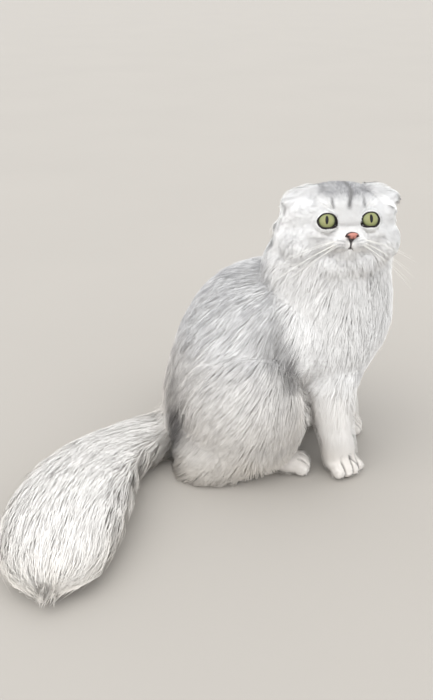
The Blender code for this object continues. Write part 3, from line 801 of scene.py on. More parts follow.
def mouth_closeness(places):
    """1 on the dark line under the nose, less on the lips; for points in the head's frame."""
    side, rise = np.abs(places[:, 0]), places[:, 2]
    width = CLEFT_WIDTH + CLEFT_FLARE * smooth_step(*FLARE_RISE, rise)
    cleft = hump((side, width)) * smooth_step(*CLEFT_FOOT, rise) * smooth_step(*CLEFT_TOP, rise)
    lips = LIP_STRENGTH * hump((line_distance(side, rise, LIP_LINE), LIP_BREADTH))
    end = hump((np.hypot(side, rise - CLEFT_END[0]), CLEFT_END[1]))
    return np.maximum.reduce([cleft, lips, end]) * (places[:, 1] > MOUTH_FRONT)


def refine(shape, inside):
    """Splits the edges of a skin where the test of its places is true, and smooths there."""
    shape.verts.ensure_lookup_table()
    shape.verts.index_update()
    chosen = inside(np.array([v.co for v in shape.verts]))
    edges = [e for e in shape.edges if chosen[e.verts[0].index] and chosen[e.verts[1].index]]
    bmesh.ops.subdivide_edges(shape, edges=edges, cuts=1, use_grid_fill=True)
    chosen = inside(np.array([v.co for v in shape.verts]))
    bmesh.ops.smooth_vert(shape, verts=[v for v, mine in zip(shape.verts, chosen) if mine], factor=0.5,
                          use_axis_x=True, use_axis_y=True, use_axis_z=True)


def on_face(half, low):
    """A test for places on the front of the head."""
    def inside(points):
        side, ahead, rise = to_head(points).T
        return (np.abs(side) < half) & (ahead > FACE_BACK) & (rise > low) & (rise < FACE_TOP)
    return inside


def shape_details(skin):
    """Lids, sockets, the lip line and the toe gaps, on a finer mesh over the face and paws."""
    shape = bmesh.new()
    shape.from_mesh(skin.data)
    for half, low in FINE_FACE:
        refine(shape, on_face(half, low))
    for from_ahead, to_height in FINE_PAWS:
        refine(shape, lambda points: on_paws(points, from_ahead, to_height))
    shape.to_mesh(skin.data)
    shape.free()
    points = vertex_places(skin.data)
    gaps, inward = toe_gaps(points)
    places = to_head(points + inward * gaps[:, None] * TOE_GAP_DEPTH)
    for side in (-1.0, 1.0):
        places = shape_lids(places, side)
    places[:, 1] -= MOUTH_DEPTH * mouth_closeness(places)
    set_places(skin.data, from_head(places))


def build_skin():
    """One closed skin over the flesh, under the coat."""
    skin = remeshed(joined("raw", flesh_forms()), "skin", SKIN_VOXEL, SKIN_SMOOTHING)
    skin.data.transform(Matrix.Translation(HOME))
    shape_details(skin)
    places = vertex_places(skin.data)
    places[:, 2] = np.maximum(places[:, 2], SKIN_FLOOR)
    set_places(skin.data, places)
    skin.data.shade_smooth()
    return skin


def unwrap(obj):
    """An unwrap of the skin's own shape, for the baked colours."""
    bpy.ops.object.select_all(action="DESELECT")
    obj.select_set(True)
    bpy.context.view_layer.objects.active = obj
    obj.data.uv_layers.new(name="OFBake")
    bpy.ops.object.mode_set(mode="EDIT")
    bpy.ops.mesh.select_all(action="SELECT")
    bpy.ops.uv.smart_project(angle_limit=UNWRAP_ANGLE, island_margin=UNWRAP_MARGIN)
    bpy.ops.object.mode_set(mode="OBJECT")
    obj.select_set(False)


# Coat

def both_sides(place, direction):
    """A place and direction of the lie, and their mirror images where they are off the middle."""
    for side in ((1.0, -1.0) if place[0] or direction[0] else (1.0,)):
        yield np.array((side * place[0], *place[1:])), np.array((side * direction[0], *direction[1:]))


def lie_rows():
    """Where the coat's lie is known, in the world: places, directions, lengths, strays and groups."""
    rows = []
    for place, direction, *values, group in HEAD_LIE + EAR_LIE:
        for spot, way in both_sides(place, direction):
            rows.append((from_head(spot), way @ HEAD_FRAME, *values, GROUPS.index(group)))
    for place, direction, *values, group in BODY_LIE:
        for spot, way in both_sides(place, direction):
            rows.append((spot + np.array(HOME), way, *values, GROUPS.index(group)))
    last = len(TAIL_FLESH) - 1
    for i, length in enumerate(TAIL_LENGTHS, start=1):
        before, after = TAIL_FLESH[i - 1], TAIL_FLESH[min(i + 1, last)]
        spot = np.array(TAIL_FLESH[i][:3]) + np.array(HOME)
        way = np.array((after[0] - before[0], after[1] - before[1], 0.0))
        rows.append((spot, way, length, TAIL_STRAY, GROUPS.index("tail")))
    places, ways, lengths, strays, groups = (np.array(column) for column in zip(*rows))
    return places, unit(ways), lengths * MM, strays, groups


LIE_PLACES, LIE_WAYS, LIE_LENGTHS, LIE_STRAYS, LIE_GROUPS = lie_rows()


def lie_weights(points):
    """How much each known place of the lie says at each point."""
    gaps = ((points[:, None, :] - LIE_PLACES[None]) ** 2).sum(-1) + LIE_BLUR
    weights = gaps ** LIE_FALL
    return weights / weights.sum(1, keepdims=True)


def coat_at(points):
    """Direction, length, stray and group of the coat at these points."""
    found = []
    for start in range(0, len(points), BATCH):
        weights = lie_weights(points[start:start + BATCH])
        found.append((weights @ LIE_WAYS, weights @ LIE_LENGTHS, weights @ LIE_STRAYS,
                      LIE_GROUPS[weights.argmax(1)]))
    ways, lengths, strays, groups = (np.concatenate(part) for part in zip(*found))
    return unit(ways), lengths, strays, groups


def along_surface(ways, normals):
    """Directions laid flat on a surface."""
    return unit(ways - normals * (ways * normals).sum(1, keepdims=True))


class Surface:
    """A mesh to sample and to walk on."""

    def __init__(self, obj):
        mesh = obj.data
        mesh.calc_loop_triangles()
        self.places = vertex_places(mesh)
        self.normals = read(mesh.vertex_normals, "vector", 3)
        self.triangles = read(mesh.loop_triangles, "vertices", 3, np.int64)
        self.tree = BVHTree.FromPolygons(self.places.tolist(), self.triangles.tolist())
        self.smooth = unit(self.normals[self.triangles].mean(1))
        corners = read(mesh.loop_triangles, "loops", 3, np.int64)
        self.uvs = read(mesh.uv_layers[0].uv, "vector", 2)[corners] if mesh.uv_layers else None

    def nearest(self, points):
        """Nearest places on the surface, with smooth normals."""
        spots, normals = np.empty_like(points), np.empty_like(points)
        for i, point in enumerate(points.tolist()):
            spot, _, index, _ = self.tree.find_nearest(point)
            spots[i] = spot
            normals[i] = self.smooth[index]
        return spots, normals

    def room(self, points, ways, most):
        """How far each point is from the surface along its own way."""
        found = np.empty(len(points))
        for i, (point, way) in enumerate(zip(points.tolist(), ways.tolist())):
            hit = self.tree.ray_cast(point, way, most)[3]
            if hit is None:
                hit = min(self.tree.find_nearest(point)[3], most)
            found[i] = hit
        return found


def bare_skin(points):
    """True where no hair grows: on the eyes' openings and rims, and the nose."""
    local = to_head(points)
    bare = np.zeros(len(points), bool)
    for side in (-1.0, 1.0):
        _, distance, _, past = round_eye(local, side)
        bare |= (distance < EYE_RADIUS + EYE_ROOM) & (past < HAIR_MARGIN)
    side, ahead, rise = local.T
    nose = (local - np.array(NOSE_PLACE)) / np.array(NOSE_HALF)
    bare |= (nose[:, 0] ** 2 + nose[:, 2] ** 2 < 1.0) & (ahead > NOSE_FRONT)
    half, middle, half_high, front = UNDER_NOSE
    bare |= (np.abs(side) < half) & (np.abs(rise - middle) < half_high) & (ahead > front)
    return bare | (mouth_closeness(local) > BARE_MOUTH) | (toe_gaps(points)[0] > BARE_GAP)


def scatter(surface, rng, share):
    """Tuft roots: places, normals and unwrap places, crowded where the hair is short."""
    corners = surface.places[surface.triangles]
    sides = corners[:, 1:] - corners[:, :1]
    areas = np.linalg.norm(np.cross(sides[:, 0], sides[:, 1]), axis=1) / 2
    centres = corners.mean(1)
    _, lengths, _, groups = coat_at(centres)
    wanted = areas / (lengths / MM + CROWDING_START) ** CROWDING
    wanted[bare_skin(centres)] = 0.0
    wanted[centres[:, 2] < UNDERSIDE[0]] *= UNDERSIDE[1]
    for index, group in enumerate(GROUPS):
        mine = groups == index
        wanted[mine] *= TUFTS[group][0] * share / wanted[mine].sum()
    counts = np.floor(wanted + rng.random(len(wanted))).astype(int)
    which = np.repeat(np.arange(len(counts)), counts)
    mix = rng.random((len(which), 2))
    flip = mix.sum(1) > 1
    mix[flip] = 1 - mix[flip]
    weights = np.column_stack([1 - mix.sum(1), mix])
    places = (corners[which] * weights[..., None]).sum(1)
    normals = unit((surface.normals[surface.triangles[which]] * weights[..., None]).sum(1))
    uvs = (surface.uvs[which] * weights[..., None]).sum(1)
    return places, normals, uvs


def grow_guides(skin, hull, places, normals, rng):
    """Hairs that walk over the skin along the lie, and rise to the coat's outline."""
    _, lengths, strays, groups = coat_at(places)
    fluff = np.array([FLUFF.get(group, 1.0) for group in GROUPS])[groups]
    count = len(places)
    room = hull.room(places, normals, SEARCH_ROOM) * fluff
    depth = np.clip(room * rng.uniform(*DEPTH_SHARES, count), DEPTH_LEAST, DEPTH_MOST * lengths)
    run = np.sqrt(np.maximum(lengths ** 2 - depth ** 2, (RUN_LEAST * lengths) ** 2))
    twist = rng.normal(0.0, 1.0, count) * strays
    phase, sway = rng.uniform(0, 2 * math.pi, count), rng.uniform(*SWAY, count)
    most_room = np.maximum(room, depth) * ROOM_GROWTH[0] + ROOM_GROWTH[1]
    spots, outs = places.copy(), normals.copy()
    path, sides = [places.copy()], [normals]
    for step in range(1, GUIDE_STEPS + 1):
        t = step / GUIDE_STEPS
        way = along_surface(coat_at(spots)[0], outs)
        across = np.cross(outs, way)
        turned = way * np.cos(twist)[:, None] + across * np.sin(twist)[:, None]
        spots, outs = skin.nearest(spots + turned * (run / GUIDE_STEPS)[:, None])
        here = np.minimum(hull.room(spots, outs, SEARCH_ROOM) * fluff, most_room)
        filled = depth / np.maximum(room, ROOM_FLOOR)
        goal = np.minimum(np.clip(here, ROOM_LEAST, None) * filled, HEIGHT_MOST * lengths)
        rise = 1 - (1 - t) ** RISE_POWER
        height = (0.5 * goal + 0.5 * np.minimum(depth, goal)) * rise
        wave = WAVE_HEIGHT * lengths * sway * np.sin(phase + WAVE_TURN * t) * t
        path.append(spots + outs * height[:, None] + across * wave[:, None])
        sides.append(outs)
    return np.stack(path, 1), np.stack(sides, 1), lengths


def nearest_guides(path, outs, places, normals):
    """For each tuft, the guides that it follows and how much of each."""
    tree = KDTree(len(path))
    for i, root in enumerate(path[:, 0].tolist()):
        tree.insert(root, i)
    tree.balance()
    chosen = np.empty((len(places), GUIDES_FOLLOWED), np.int64)
    closeness = np.empty(chosen.shape)
    for i, (place, normal) in enumerate(zip(places.tolist(), normals)):
        near = tree.find_n(place, GUIDES_SEEN)
        index = np.array([n[1] for n in near])
        cost = np.array([n[2] for n in near]) + TURN_COST * (1 - outs[index, 0] @ normal)
        order = cost.argsort()[:GUIDES_FOLLOWED]
        chosen[i] = index[order]
        closeness[i] = 1 / (cost[order] + GUIDE_BLUR) ** 2
    return chosen, closeness / closeness.sum(1, keepdims=True)


def comb(guides, places, normals, rng):
    """Tufts between the guides: each follows the nearest ones and leans to its own lock at the tip."""
    path, outs, lengths = guides
    chosen, closeness = nearest_guides(path, outs, places, normals)
    shapes = path - path[:, :1]
    form = (shapes[chosen] * closeness[:, :, None, None]).sum(1)
    out = unit((outs[chosen] * closeness[:, :, None, None]).sum(1))
    length = (lengths[chosen] * closeness).sum(1)
    count = len(places)
    t = np.linspace(0, 1, GUIDE_STEPS + 1)[None, :, None]
    lock = chosen[:, 0]
    offset = (places - path[lock, 0])[:, None, :]
    pull = rng.uniform(0.0, LOCK_PULL, count)[:, None, None]
    stray = rng.normal(0.0, TIP_STRAY, (count, 1, 3)) * length[:, None, None]
    stray -= out[:, :1] * (stray * out[:, :1]).sum(-1, keepdims=True) * STRAY_FLATTENED
    strands = places[:, None, :] + form - offset * pull * t ** PULL_POWER + stray * t ** 2
    strands[..., 2] = np.maximum(strands[..., 2], HAIR_FLOOR)
    return strands, out, length, lock


def pick(rows, rings, share):
    """Rows at evenly spread steps along each hair, up to the share of it that has grown."""
    at = np.linspace(0, GUIDE_STEPS, rings)[None, :] * share[:, None]
    low = np.minimum(at.astype(int), GUIDE_STEPS - 1)
    part = (at - low)[..., None]
    which = np.arange(len(rows))[:, None]
    return rows[which, low] * (1 - part) + rows[which, low + 1] * part


def tuft_points(strands, outs, widths):
    """Corners of three-sided tapering tufts: their rings from the root on, then the tip."""
    rings = strands.shape[1] - 1
    tangents = unit(np.gradient(strands, axis=1))
    across = unit(np.cross(tangents, outs))
    above = unit(np.cross(across, tangents))
    taper = np.interp(np.linspace(0, 1, rings + 1), *TAPER)[:rings]
    half = widths[:, None, None] * taper[None, :, None] / 2
    body, side, lift = strands[:, :rings], across[:, :rings] * half, above[:, :rings] * half
    low, ridge = lift * TUFT_BASE, lift * TUFT_RIDGE
    ring = np.stack([body - side - low, body + ridge, body + side - low], 2)
    return np.concatenate([ring.reshape(len(strands), -1, 3), strands[:, rings:]], 1)


def tuft_faces(rings):
    """Faces of one tuft as corner numbers, and where each face's corners lie in its unwrap patch."""
    faces, corners = [(2, 1, 0)], [(1.0, 0.0), (0.5, 0.0), (0.0, 0.0)]
    for r in range(rings - 1):
        low, high = r / rings, (r + 1) / rings
        for s in range(3):
            after = (s + 1) % 3
            faces.append((3 * r + s, 3 * r + after, 3 * r + 3 + after, 3 * r + 3 + s))
            corners += [(s / 3, low), ((s + 1) / 3, low), ((s + 1) / 3, high), (s / 3, high)]
    last, low = 3 * (rings - 1), (rings - 1) / rings
    for s in range(3):
        faces.append((last + s, last + (s + 1) % 3, last + 3))
        corners += [(s / 3, low), ((s + 1) / 3, low), ((s + 0.5) / 3, 1.0)]
    return faces, (np.array(corners) - 0.5) * PATCH_SIZE


def repeated_mesh(name, places, faces):
    """One mesh of many alike closed forms, from their corners and the faces of one."""
    count, each = places.shape[:2]
    loops = np.array([corner for face in faces for corner in face])
    totals = np.array([len(face) for face in faces])
    starts = np.concatenate([[0], totals.cumsum()[:-1]])
    forms = np.arange(count)[:, None]
    mesh = bpy.data.meshes.new(name)
    mesh.vertices.add(count * each)
    mesh.vertices.foreach_set("co", places.astype(np.float32).ravel())
    mesh.loops.add(count * len(loops))
    mesh.loops.foreach_set("vertex_index", (forms * each + loops).astype(np.int32).ravel())
    mesh.polygons.add(count * len(faces))
    mesh.polygons.foreach_set("loop_start", (forms * len(loops) + starts).astype(np.int32).ravel())
    mesh.polygons.foreach_set("use_smooth", np.ones(count * len(faces), bool))
    mesh.update(calc_edges=True)
    return mesh


def tuft_mesh(name, strands, outs, widths, uvs, values):
    """Closed tapering tufts joined in one mesh, with an unwrap patch and values for each."""
    rings = strands.shape[1] - 1
    places = tuft_points(strands, outs, widths)
    faces, patch = tuft_faces(rings)
    mesh = repeated_mesh(name, places, faces)
    layer = mesh.uv_layers.new(name="OFBake")
    layer.uv.foreach_set("vector", (uvs[:, None] + patch[None]).astype(np.float32).ravel())
    along = np.concatenate([np.repeat(np.arange(rings) / rings, 3), [1.0]])
    add_values(mesh, "along", np.tile(along, len(strands)))
    for key, value in values.items():
        add_values(mesh, key, np.repeat(value, places.shape[1]))
    body = np.concatenate([np.repeat(outs[:, :rings], 3, axis=1), outs[:, rings:]], 1)
    inner_tip = strands[:, rings:] - outs[:, rings:] * MM
    middle = np.concatenate([np.repeat(strands[:, :rings], 3, axis=1), inner_tip], 1)
    shading = unit(body * (1 - OWN_SHADE) + unit(places - middle) * OWN_SHADE)
    mesh.normals_split_custom_set_from_vertices(shading.reshape(-1, 3))
    return link(name, mesh)


def add_values(mesh, name, values):
    """A number for each vertex, under a name that the finishes read."""
    layer = mesh.attributes.new(name, "FLOAT", "POINT")
    layer.data.foreach_set("value", values.astype(np.float32))


# Markings

def soft_spots(places, rows):
    """The strongest of some soft spots, which come in pairs."""
    away = np.column_stack([np.abs(places[:, 0]), places[:, 1:]])
    return np.maximum.reduce([
        strength * np.exp(-(((away - np.array(centre)) / np.array(breadth)) ** 2).sum(1))
        for centre, breadth, strength in rows
    ])


def crown_marks(local):
    """The grey crown, its dark stripe and the two short stripes over the eyes."""
    side, ahead, rise = local.T
    crown = smooth_step(0.019, 0.031, rise) * smooth_step(0.031, 0.017, np.abs(side - 0.003))
    bend = 0.0062 * smooth_step(0.016, 0.038, rise)
    stripe = hump((side - bend, 0.0022)) * smooth_step(0.012, 0.019, rise) * (ahead > -0.02)
    brow = hump((np.abs(side) - 0.0150, 0.0015)) * smooth_step(0.0140, 0.0165, rise)
    brow *= smooth_step(0.0270, 0.0235, rise) * (ahead > 0.01)
    return crown, stripe, brow


def head_marks(local):
    """Grey and dark on the head: crown, stripes, lines under the eyes and on the pads."""
    side, ahead, rise = np.abs(local[:, 0]), local[:, 1], local[:, 2]
    crown, stripe, brow = crown_marks(local)
    nape = 0.6 * smooth_step(-0.012, -0.036, ahead)
    eyes = hump((side - 0.026, 0.009), (rise + 0.0118, 0.0013))
    pads = np.maximum.reduce([hump((line_distance(side, rise, line), 0.0010)) for line in PAD_LINES])
    pads *= ahead > 0.02
    silver = np.maximum.reduce([1.8 * crown, nape, 1.3 * stripe, 1.3 * brow, 0.7 * eyes, 0.8 * pads])
    return silver, np.maximum(1.1 * stripe, 0.65 * brow)


def muzzle_closeness(local):
    """1 in the middle of the muzzle, 0 away from it."""
    return hump(*((local[:, i] - MUZZLE[0][i], MUZZLE[1][i]) for i in range(3)))


def tail_closeness(cat):
    """1 on the tail, 0 on the body."""
    across, back, up = cat.T
    root = smooth_step(-0.030, -0.060, across) * smooth_step(0.185, 0.205, back)
    root *= smooth_step(0.070, 0.050, up)
    return np.maximum(root, smooth_step(-0.110, -0.125, across) * (back > 0.19))


def body_silver(cat):
    """How grey the body is behind the edge of the ruff, for places in the cat's frame."""
    across, back, up = cat.T
    heights, edges = zip(*RUFF_EDGE)
    silver = smooth_step(-0.010, 0.008, back - np.interp(up, heights, edges))
    silver *= 0.35 + 0.65 * smooth_step(0.010, 0.070, up)
    silver *= 0.80 + 0.20 * smooth_step(0.070, 0.0, np.abs(across))
    return silver * (1 - soft_spots(cat, PALE_PLACES))


def markings(points):
    """How grey the hair tips are, how dark, with painted shade in the crease between the chest and the
    flank, and how cream, at points in the world.
    """
    cat, local = points - np.array(HOME), to_head(points)
    up = cat[:, 2]
    tail = tail_closeness(cat)
    silver = body_silver(cat) * (1 - tail) + TAIL_SILVER * tail
    # dark patches, two of them partly painted shade in the crease between the chest and the flank
    dark = soft_spots(cat, DARK_PLACES) * (1 - tail)
    warm = 0.16 + 0.30 * smooth_step(0.13, 0.06, up) + 0.34 * smooth_step(0.05, 0.02, up)
    warm += 0.5 * silver * smooth_step(0.16, 0.12, up)
    head = (local[:, 2] > HEAD_FLOOR) & (np.abs(local[:, :2]) < HEAD_REACH).all(1)
    head_silver, head_dark = head_marks(local)
    head_warm = 0.2 * muzzle_closeness(local) + 0.08
    return {"silver": np.where(head, head_silver, silver),
            "dark": np.clip(np.where(head, head_dark, dark), 0, DARK_MOST),
            "cream": np.clip(np.where(head, head_warm, warm), 0, 1)}


def short_hair_shade(lengths, points):
    """How much painted shade the short hair gets: 1 where the hair is short, 0 where it is long and round
    the mouth, which stays lighter.
    """
    long, short = SHORT_LENGTHS
    return smooth_step(long * MM, short * MM, lengths) * (1 - muzzle_closeness(to_head(points)))


# Materials

class Socket:
    """A node's output; arithmetic with numbers and other sockets adds Math nodes."""

    def __init__(self, finish, output):
        self.finish = finish
        self.output = output

    def math(self, operation, *others, first=None, clamp=False):
        """Any Math node's operation on this value; first, where given, comes before it."""
        values = ([first] if first is not None else []) + [self] + list(others)
        node = self.finish.node("ShaderNodeMath", {"operation": operation, "use_clamp": clamp},
                                dict(enumerate(values)))
        return node.out(0)

    def __add__(self, other):
        return self.math("ADD", other)

    def __radd__(self, other):
        return self.math("ADD", other)

    def __sub__(self, other):
        return self.math("SUBTRACT", other)

    def __rsub__(self, other):
        return self.math("SUBTRACT", first=other)

    def __mul__(self, other):
        return self.math("MULTIPLY", other)

    def __rmul__(self, other):
        return self.math("MULTIPLY", other)

    def __truediv__(self, other):
        return self.math("DIVIDE", other)

    def __pow__(self, other):
        return self.math("POWER", other)

    def clamped(self):
        """Kept from 0 to 1."""
        return self.math("ADD", 0.0, clamp=True)


class Placed:
    """A node in a finish, with its outputs as sockets."""

    def __init__(self, finish, made):
        self.finish = finish
        self.made = made

    def out(self, key):
        """One output, by name or number."""
        return Socket(self.finish, self.made.outputs[key])


class Finish:
    """A material with one Principled shader."""

    def __init__(self, name, constants):
        self.material = bpy.data.materials.new(name)
        self.material.use_nodes = True
        self.tree = self.material.node_tree
        self.shader = self.tree.nodes["Principled BSDF"]
        for key, value in constants.items():
            self.shader.inputs[key].default_value = value

    def node(self, kind, settings=None, inputs=None):
        """Adds a node with its settings and inputs."""
        made = self.tree.nodes.new(kind)
        for key, value in (settings or {}).items():
            if key == "stops":
                self.set_stops(made.color_ramp, value)
            else:
                setattr(made, key, value)
        for key, value in (inputs or {}).items():
            self.feed(made.inputs[key], value)
        return Placed(self, made)

    @staticmethod
    def set_stops(ramp, stops):
        """Places the colours of a ramp."""
        while len(ramp.elements) < len(stops):
            ramp.elements.new(1.0)
        for element, (place, colour) in zip(ramp.elements, stops):
            element.position = place
            element.color = (*colour, 1.0)

    def feed(self, target, value):
        """Links a socket to an input, or sets a plain value there."""
        if isinstance(value, Socket):
            self.tree.links.new(value.output, target)
        elif isinstance(value, tuple) and len(value) == 3 and target.type == "RGBA":
            target.default_value = (*value, 1.0)
        else:
            target.default_value = value

    def value(self, name):
        """A number stored on the mesh."""
        return self.node("ShaderNodeAttribute", {"attribute_name": name}).out("Fac")

    def place(self):
        """Where on the piece."""
        return self.node("ShaderNodeTexCoord").out("Object")

    def noise(self, scale, detail=3.0, where=None):
        """Soft noise from 0 to 1."""
        return self.node("ShaderNodeTexNoise", None, {
            "Vector": where or self.place(), "Scale": scale, "Detail": detail}).out(0)

    def mix(self, amount, first, second):
        """First colour to second by amount."""
        return self.node("ShaderNodeMix", {"data_type": "RGBA"}, {0: amount, 6: first, 7: second}).out(2)

    def spread(self, value, low, high):
        """A value from low to high made 0 to 1."""
        return self.node("ShaderNodeMapRange", {"clamp": True},
                         {0: value, 1: low, 2: high, 3: 0.0, 4: 1.0}).out(0)

    def bump(self, height, strength, distance):
        """Fine relief."""
        made = self.node("ShaderNodeBump", None, {
            "Height": height, "Strength": strength, "Distance": distance})
        self.feed(self.shader.inputs["Normal"], made.out(0))

    def paint(self, **inputs):
        """Feeds the shader's inputs, named with _ for a space."""
        for key, value in inputs.items():
            self.feed(self.shader.inputs[key.replace("_", " ")], value)


def hair_colour(finish, grey, along, tone):
    """The coat's colour from its markings, with painted shade in the chest crease and on the short hair;
    grey is how much of the tip colour shows.
    """
    cream = finish.value("cream")
    white = finish.mix(cream, WHITE_HAIR, CREAM_HAIR)
    tip = finish.mix(cream, SILVER_TIP, WARM_TIP)
    silver = finish.mix((finish.value("silver") * grey).clamped(), white, tip)
    # dark marks, with the painted crease shade among them
    dark = finish.mix((finish.value("dark") * (0.50 + 0.50 * along)).clamped(), silver, DARK_TIP_AND_CREASE_SHADE)
    # painted shade on the short hair
    shaded = finish.mix(finish.value("short") * SHORT_AMOUNT, dark, SHORT_HAIR_PAINTED_SHADE)
    return finish.mix(tone, shaded, finish.mix(0.5, shaded, COOL_TONE))


def coat_finish(name):
    """Hair: white at the root, silver or dark at the tip by the markings, each tuft of its own tone, with
    painted shade on the short hair and in the chest crease.
    """
    finish = Finish(name, {"Specular IOR Level": 0.2, "Sheen Weight": 0.05, "Sheen Roughness": 0.5})
    along = finish.value("along")
    tone = finish.value("tone")
    clouds = finish.spread(finish.noise(70.0, 2.0), 0.35, 0.65)
    grey = (0.30 + 0.70 * finish.spread(along, 0.05, 0.75)) * (0.35 + 0.65 * tone)
    grey = grey * (0.75 + 0.40 * clouds)
    colour = hair_colour(finish, grey, along, tone * 0.10)
    streak = finish.spread(finish.noise(900.0, 2.0), 0.3, 0.7)
    finish.paint(Base_Color=colour, Roughness=0.62 + 0.2 * streak)
    return finish.material


def skin_finish(name):
    """Skin with the coat's own markings and a short nap, dark bare lips and painted shade in the grooves
    between the toes.
    """
    finish = Finish(name, {"Roughness": 0.8, "Specular IOR Level": 0.2})
    nap = finish.noise(1400.0, 4.0)
    along = finish.spread(nap, 0.3, 0.7)
    colour = hair_colour(finish, 0.55 * along + 0.15, along, 0.2 * along)
    pink = finish.mix(0.04, colour, SKIN_PINK)
    # dark bare lips and painted shade in the toe grooves
    bare = finish.mix(finish.value("bare"), pink, BARE_SKIN_AND_TOE_SHADE)
    finish.paint(Base_Color=bare, Roughness=0.7 + 0.2 * along)
    finish.bump(nap, 0.4, 0.0006)
    return finish.material


def eye_finish(name):
    """A green iris with fine spokes, painted shade towards its top, a dark edge and an upright slit pupil.
    """
    finish = Finish(name, {"Coat Weight": 0.25, "Coat Roughness": 0.02, "Specular IOR Level": 0.1})
    across, up = finish.value("across"), finish.value("up")
    radius = (across ** 2.0 + up ** 2.0) ** 0.5
    angle = up.math("ARCTAN2", across)
    around = finish.node("ShaderNodeCombineXYZ", None, {0: angle * 5.0, 1: radius * 2.0, 2: 0.0}).out(0)
    spokes = finish.noise(3.0, 4.0, where=around)
    rings = finish.node("ShaderNodeValToRGB", {"stops": IRIS_RINGS}, {0: radius}).out(0)
    iris = finish.mix(finish.spread(spokes, 0.35, 0.75) * 0.45, rings, IRIS_SPOKES)
    # painted shade: the iris darkens towards its top, as under the upper lid
    iris = finish.mix(finish.spread(up, 0.0, 0.6) * 0.35, iris, IRIS_TOP_PAINTED_SHADE)
    slit = (across / PUPIL_HALF[0]) ** 2.0 + (up / PUPIL_HALF[1]) ** 2.0
    pupil = finish.spread(slit, 1.25, 0.85)
    edge = finish.spread(radius, 0.69, 0.74)
    colour = finish.mix(pupil, finish.mix(edge, iris, IRIS_EDGE), PUPIL)
    finish.paint(Base_Color=colour, Roughness=0.18 + 0.1 * spokes)
    return finish.material


def rim_finish(name):
    """The dark bare edge of the lids."""
    finish = Finish(name, {"Specular IOR Level": 0.15})
    grain = finish.noise(1500.0, 3.0)
    finish.paint(Base_Color=finish.mix(grain, *RIM_COLOURS), Roughness=0.35 + 0.2 * grain)
    finish.bump(grain, 0.3, 0.0003)
    return finish.material


def nose_finish(name):
    """Brick-pink leather with fine pebbling, a dark edge and painted shade in the nostrils."""
    finish = Finish(name, {"Specular IOR Level": 0.45})
    cells = finish.node("ShaderNodeTexVoronoi", None, {"Vector": finish.place(), "Scale": 1700.0})
    pebbles = cells.out("Distance")
    tint = finish.noise(260.0, 3.0)
    # dark outline, with painted shade in the nostrils
    edged = finish.mix(finish.value("edge"), finish.mix(tint, *NOSE_COLOURS), NOSE_EDGE_AND_NOSTRIL_SHADE)
    finish.paint(Base_Color=edged, Roughness=0.42 + 0.2 * tint)
    finish.bump(pebbles, 0.35, 0.0004)
    return finish.material


def whisker_finish(name):
    """Pale stiff hair."""
    finish = Finish(name, {"Specular IOR Level": 0.5})
    tint = finish.noise(400.0, 2.0)
    finish.paint(Base_Color=finish.mix(tint, *WHISKER_COLOURS), Roughness=0.35 + 0.1 * tint)
    return finish.material


def floor_finish(name):
    """A plain pale floor."""
    finish = Finish(name, {"Specular IOR Level": 0.2})
    cloud = finish.noise(2.0, 3.0)
    finish.paint(Base_Color=finish.mix(cloud, *FLOOR_COLOURS), Roughness=0.8 + 0.1 * cloud)
    return finish.material


# Pieces

def moved(name, shape, places):
    """A new object from mesh code, with its vertices at these places."""
    for vert, place in zip(shape.verts, places):
        vert.co = place
    return from_bmesh(name, shape)


def build_eye(name, side):
    """An eyeball with the cornea's bulge, drawn from its pole on the gaze axis."""
    shape = bmesh.new()
    bmesh.ops.create_uvsphere(shape, u_segments=48, v_segments=32, radius=EYE_RADIUS)
    places = np.array([v.co for v in shape.verts])
    ahead = places[:, 2] / EYE_RADIUS
    bulge = CORNEA_BULGE * smooth_step(*CORNEA_EDGE, ahead)
    axes = eye_axes(side, GAZE_LIFT, GAZE_TURN)
    local = np.column_stack([places[:, 0], places[:, 2] + bulge - EYE_SINK, places[:, 1]])
    world = from_head(eye_centre(side) + local @ axes)
    eye = moved(name, shape, world)
    front = local[:, 1] > 0
    add_values(eye.data, "across", np.where(front, local[:, 0] / EYE_RADIUS, 1.0))
    add_values(eye.data, "up", np.where(front, local[:, 2] / EYE_RADIUS, 1.0))
    eye.data.shade_smooth()
    return eye


def lid_line(side):
    """The line of the lids' edge round one eye, in the world."""
    line = []
    for turn in np.linspace(0, 2 * math.pi, RIM_SIDES, endpoint=False):
        angle = float(opening_angle(turn)) + RIM_MARGIN
        across = side * math.sin(angle) * math.cos(turn)
        local = np.array((across, math.cos(angle), math.sin(angle) * math.sin(turn)))
        line.append(Vector(from_head(eye_centre(side) + local * (EYE_RADIUS + RIM_LIFT) @ eye_axes(side))))
    return line


def build_rim(name, side):
    """A thin soft roll along the edge of the open lids."""
    line = lid_line(side)
    middle = Vector(from_head(eye_centre(side)))
    shape = bmesh.new()
    rings = []
    for i, place in enumerate(line):
        ahead = (line[(i + 1) % len(line)] - line[i - 1]).normalized()
        across = ahead.cross((place - middle).normalized()).normalized()
        turn = Matrix((across, across.cross(ahead), ahead)).transposed().to_4x4()
        ring = Matrix.Translation(place) @ turn @ Matrix.Diagonal((*RIM_HALF, 1.0, 1.0))
        made = bmesh.ops.create_circle(shape, segments=RIM_RING_SIDES, radius=1.0, matrix=ring)
        rings.append({edge for vert in made["verts"] for edge in vert.link_edges})
    for lower, upper in zip(rings, rings[1:] + rings[:1]):
        bmesh.ops.bridge_loops(shape, edges=list(lower | upper))
    rim = from_bmesh(name, shape)
    rim.data.shade_smooth()
    return rim


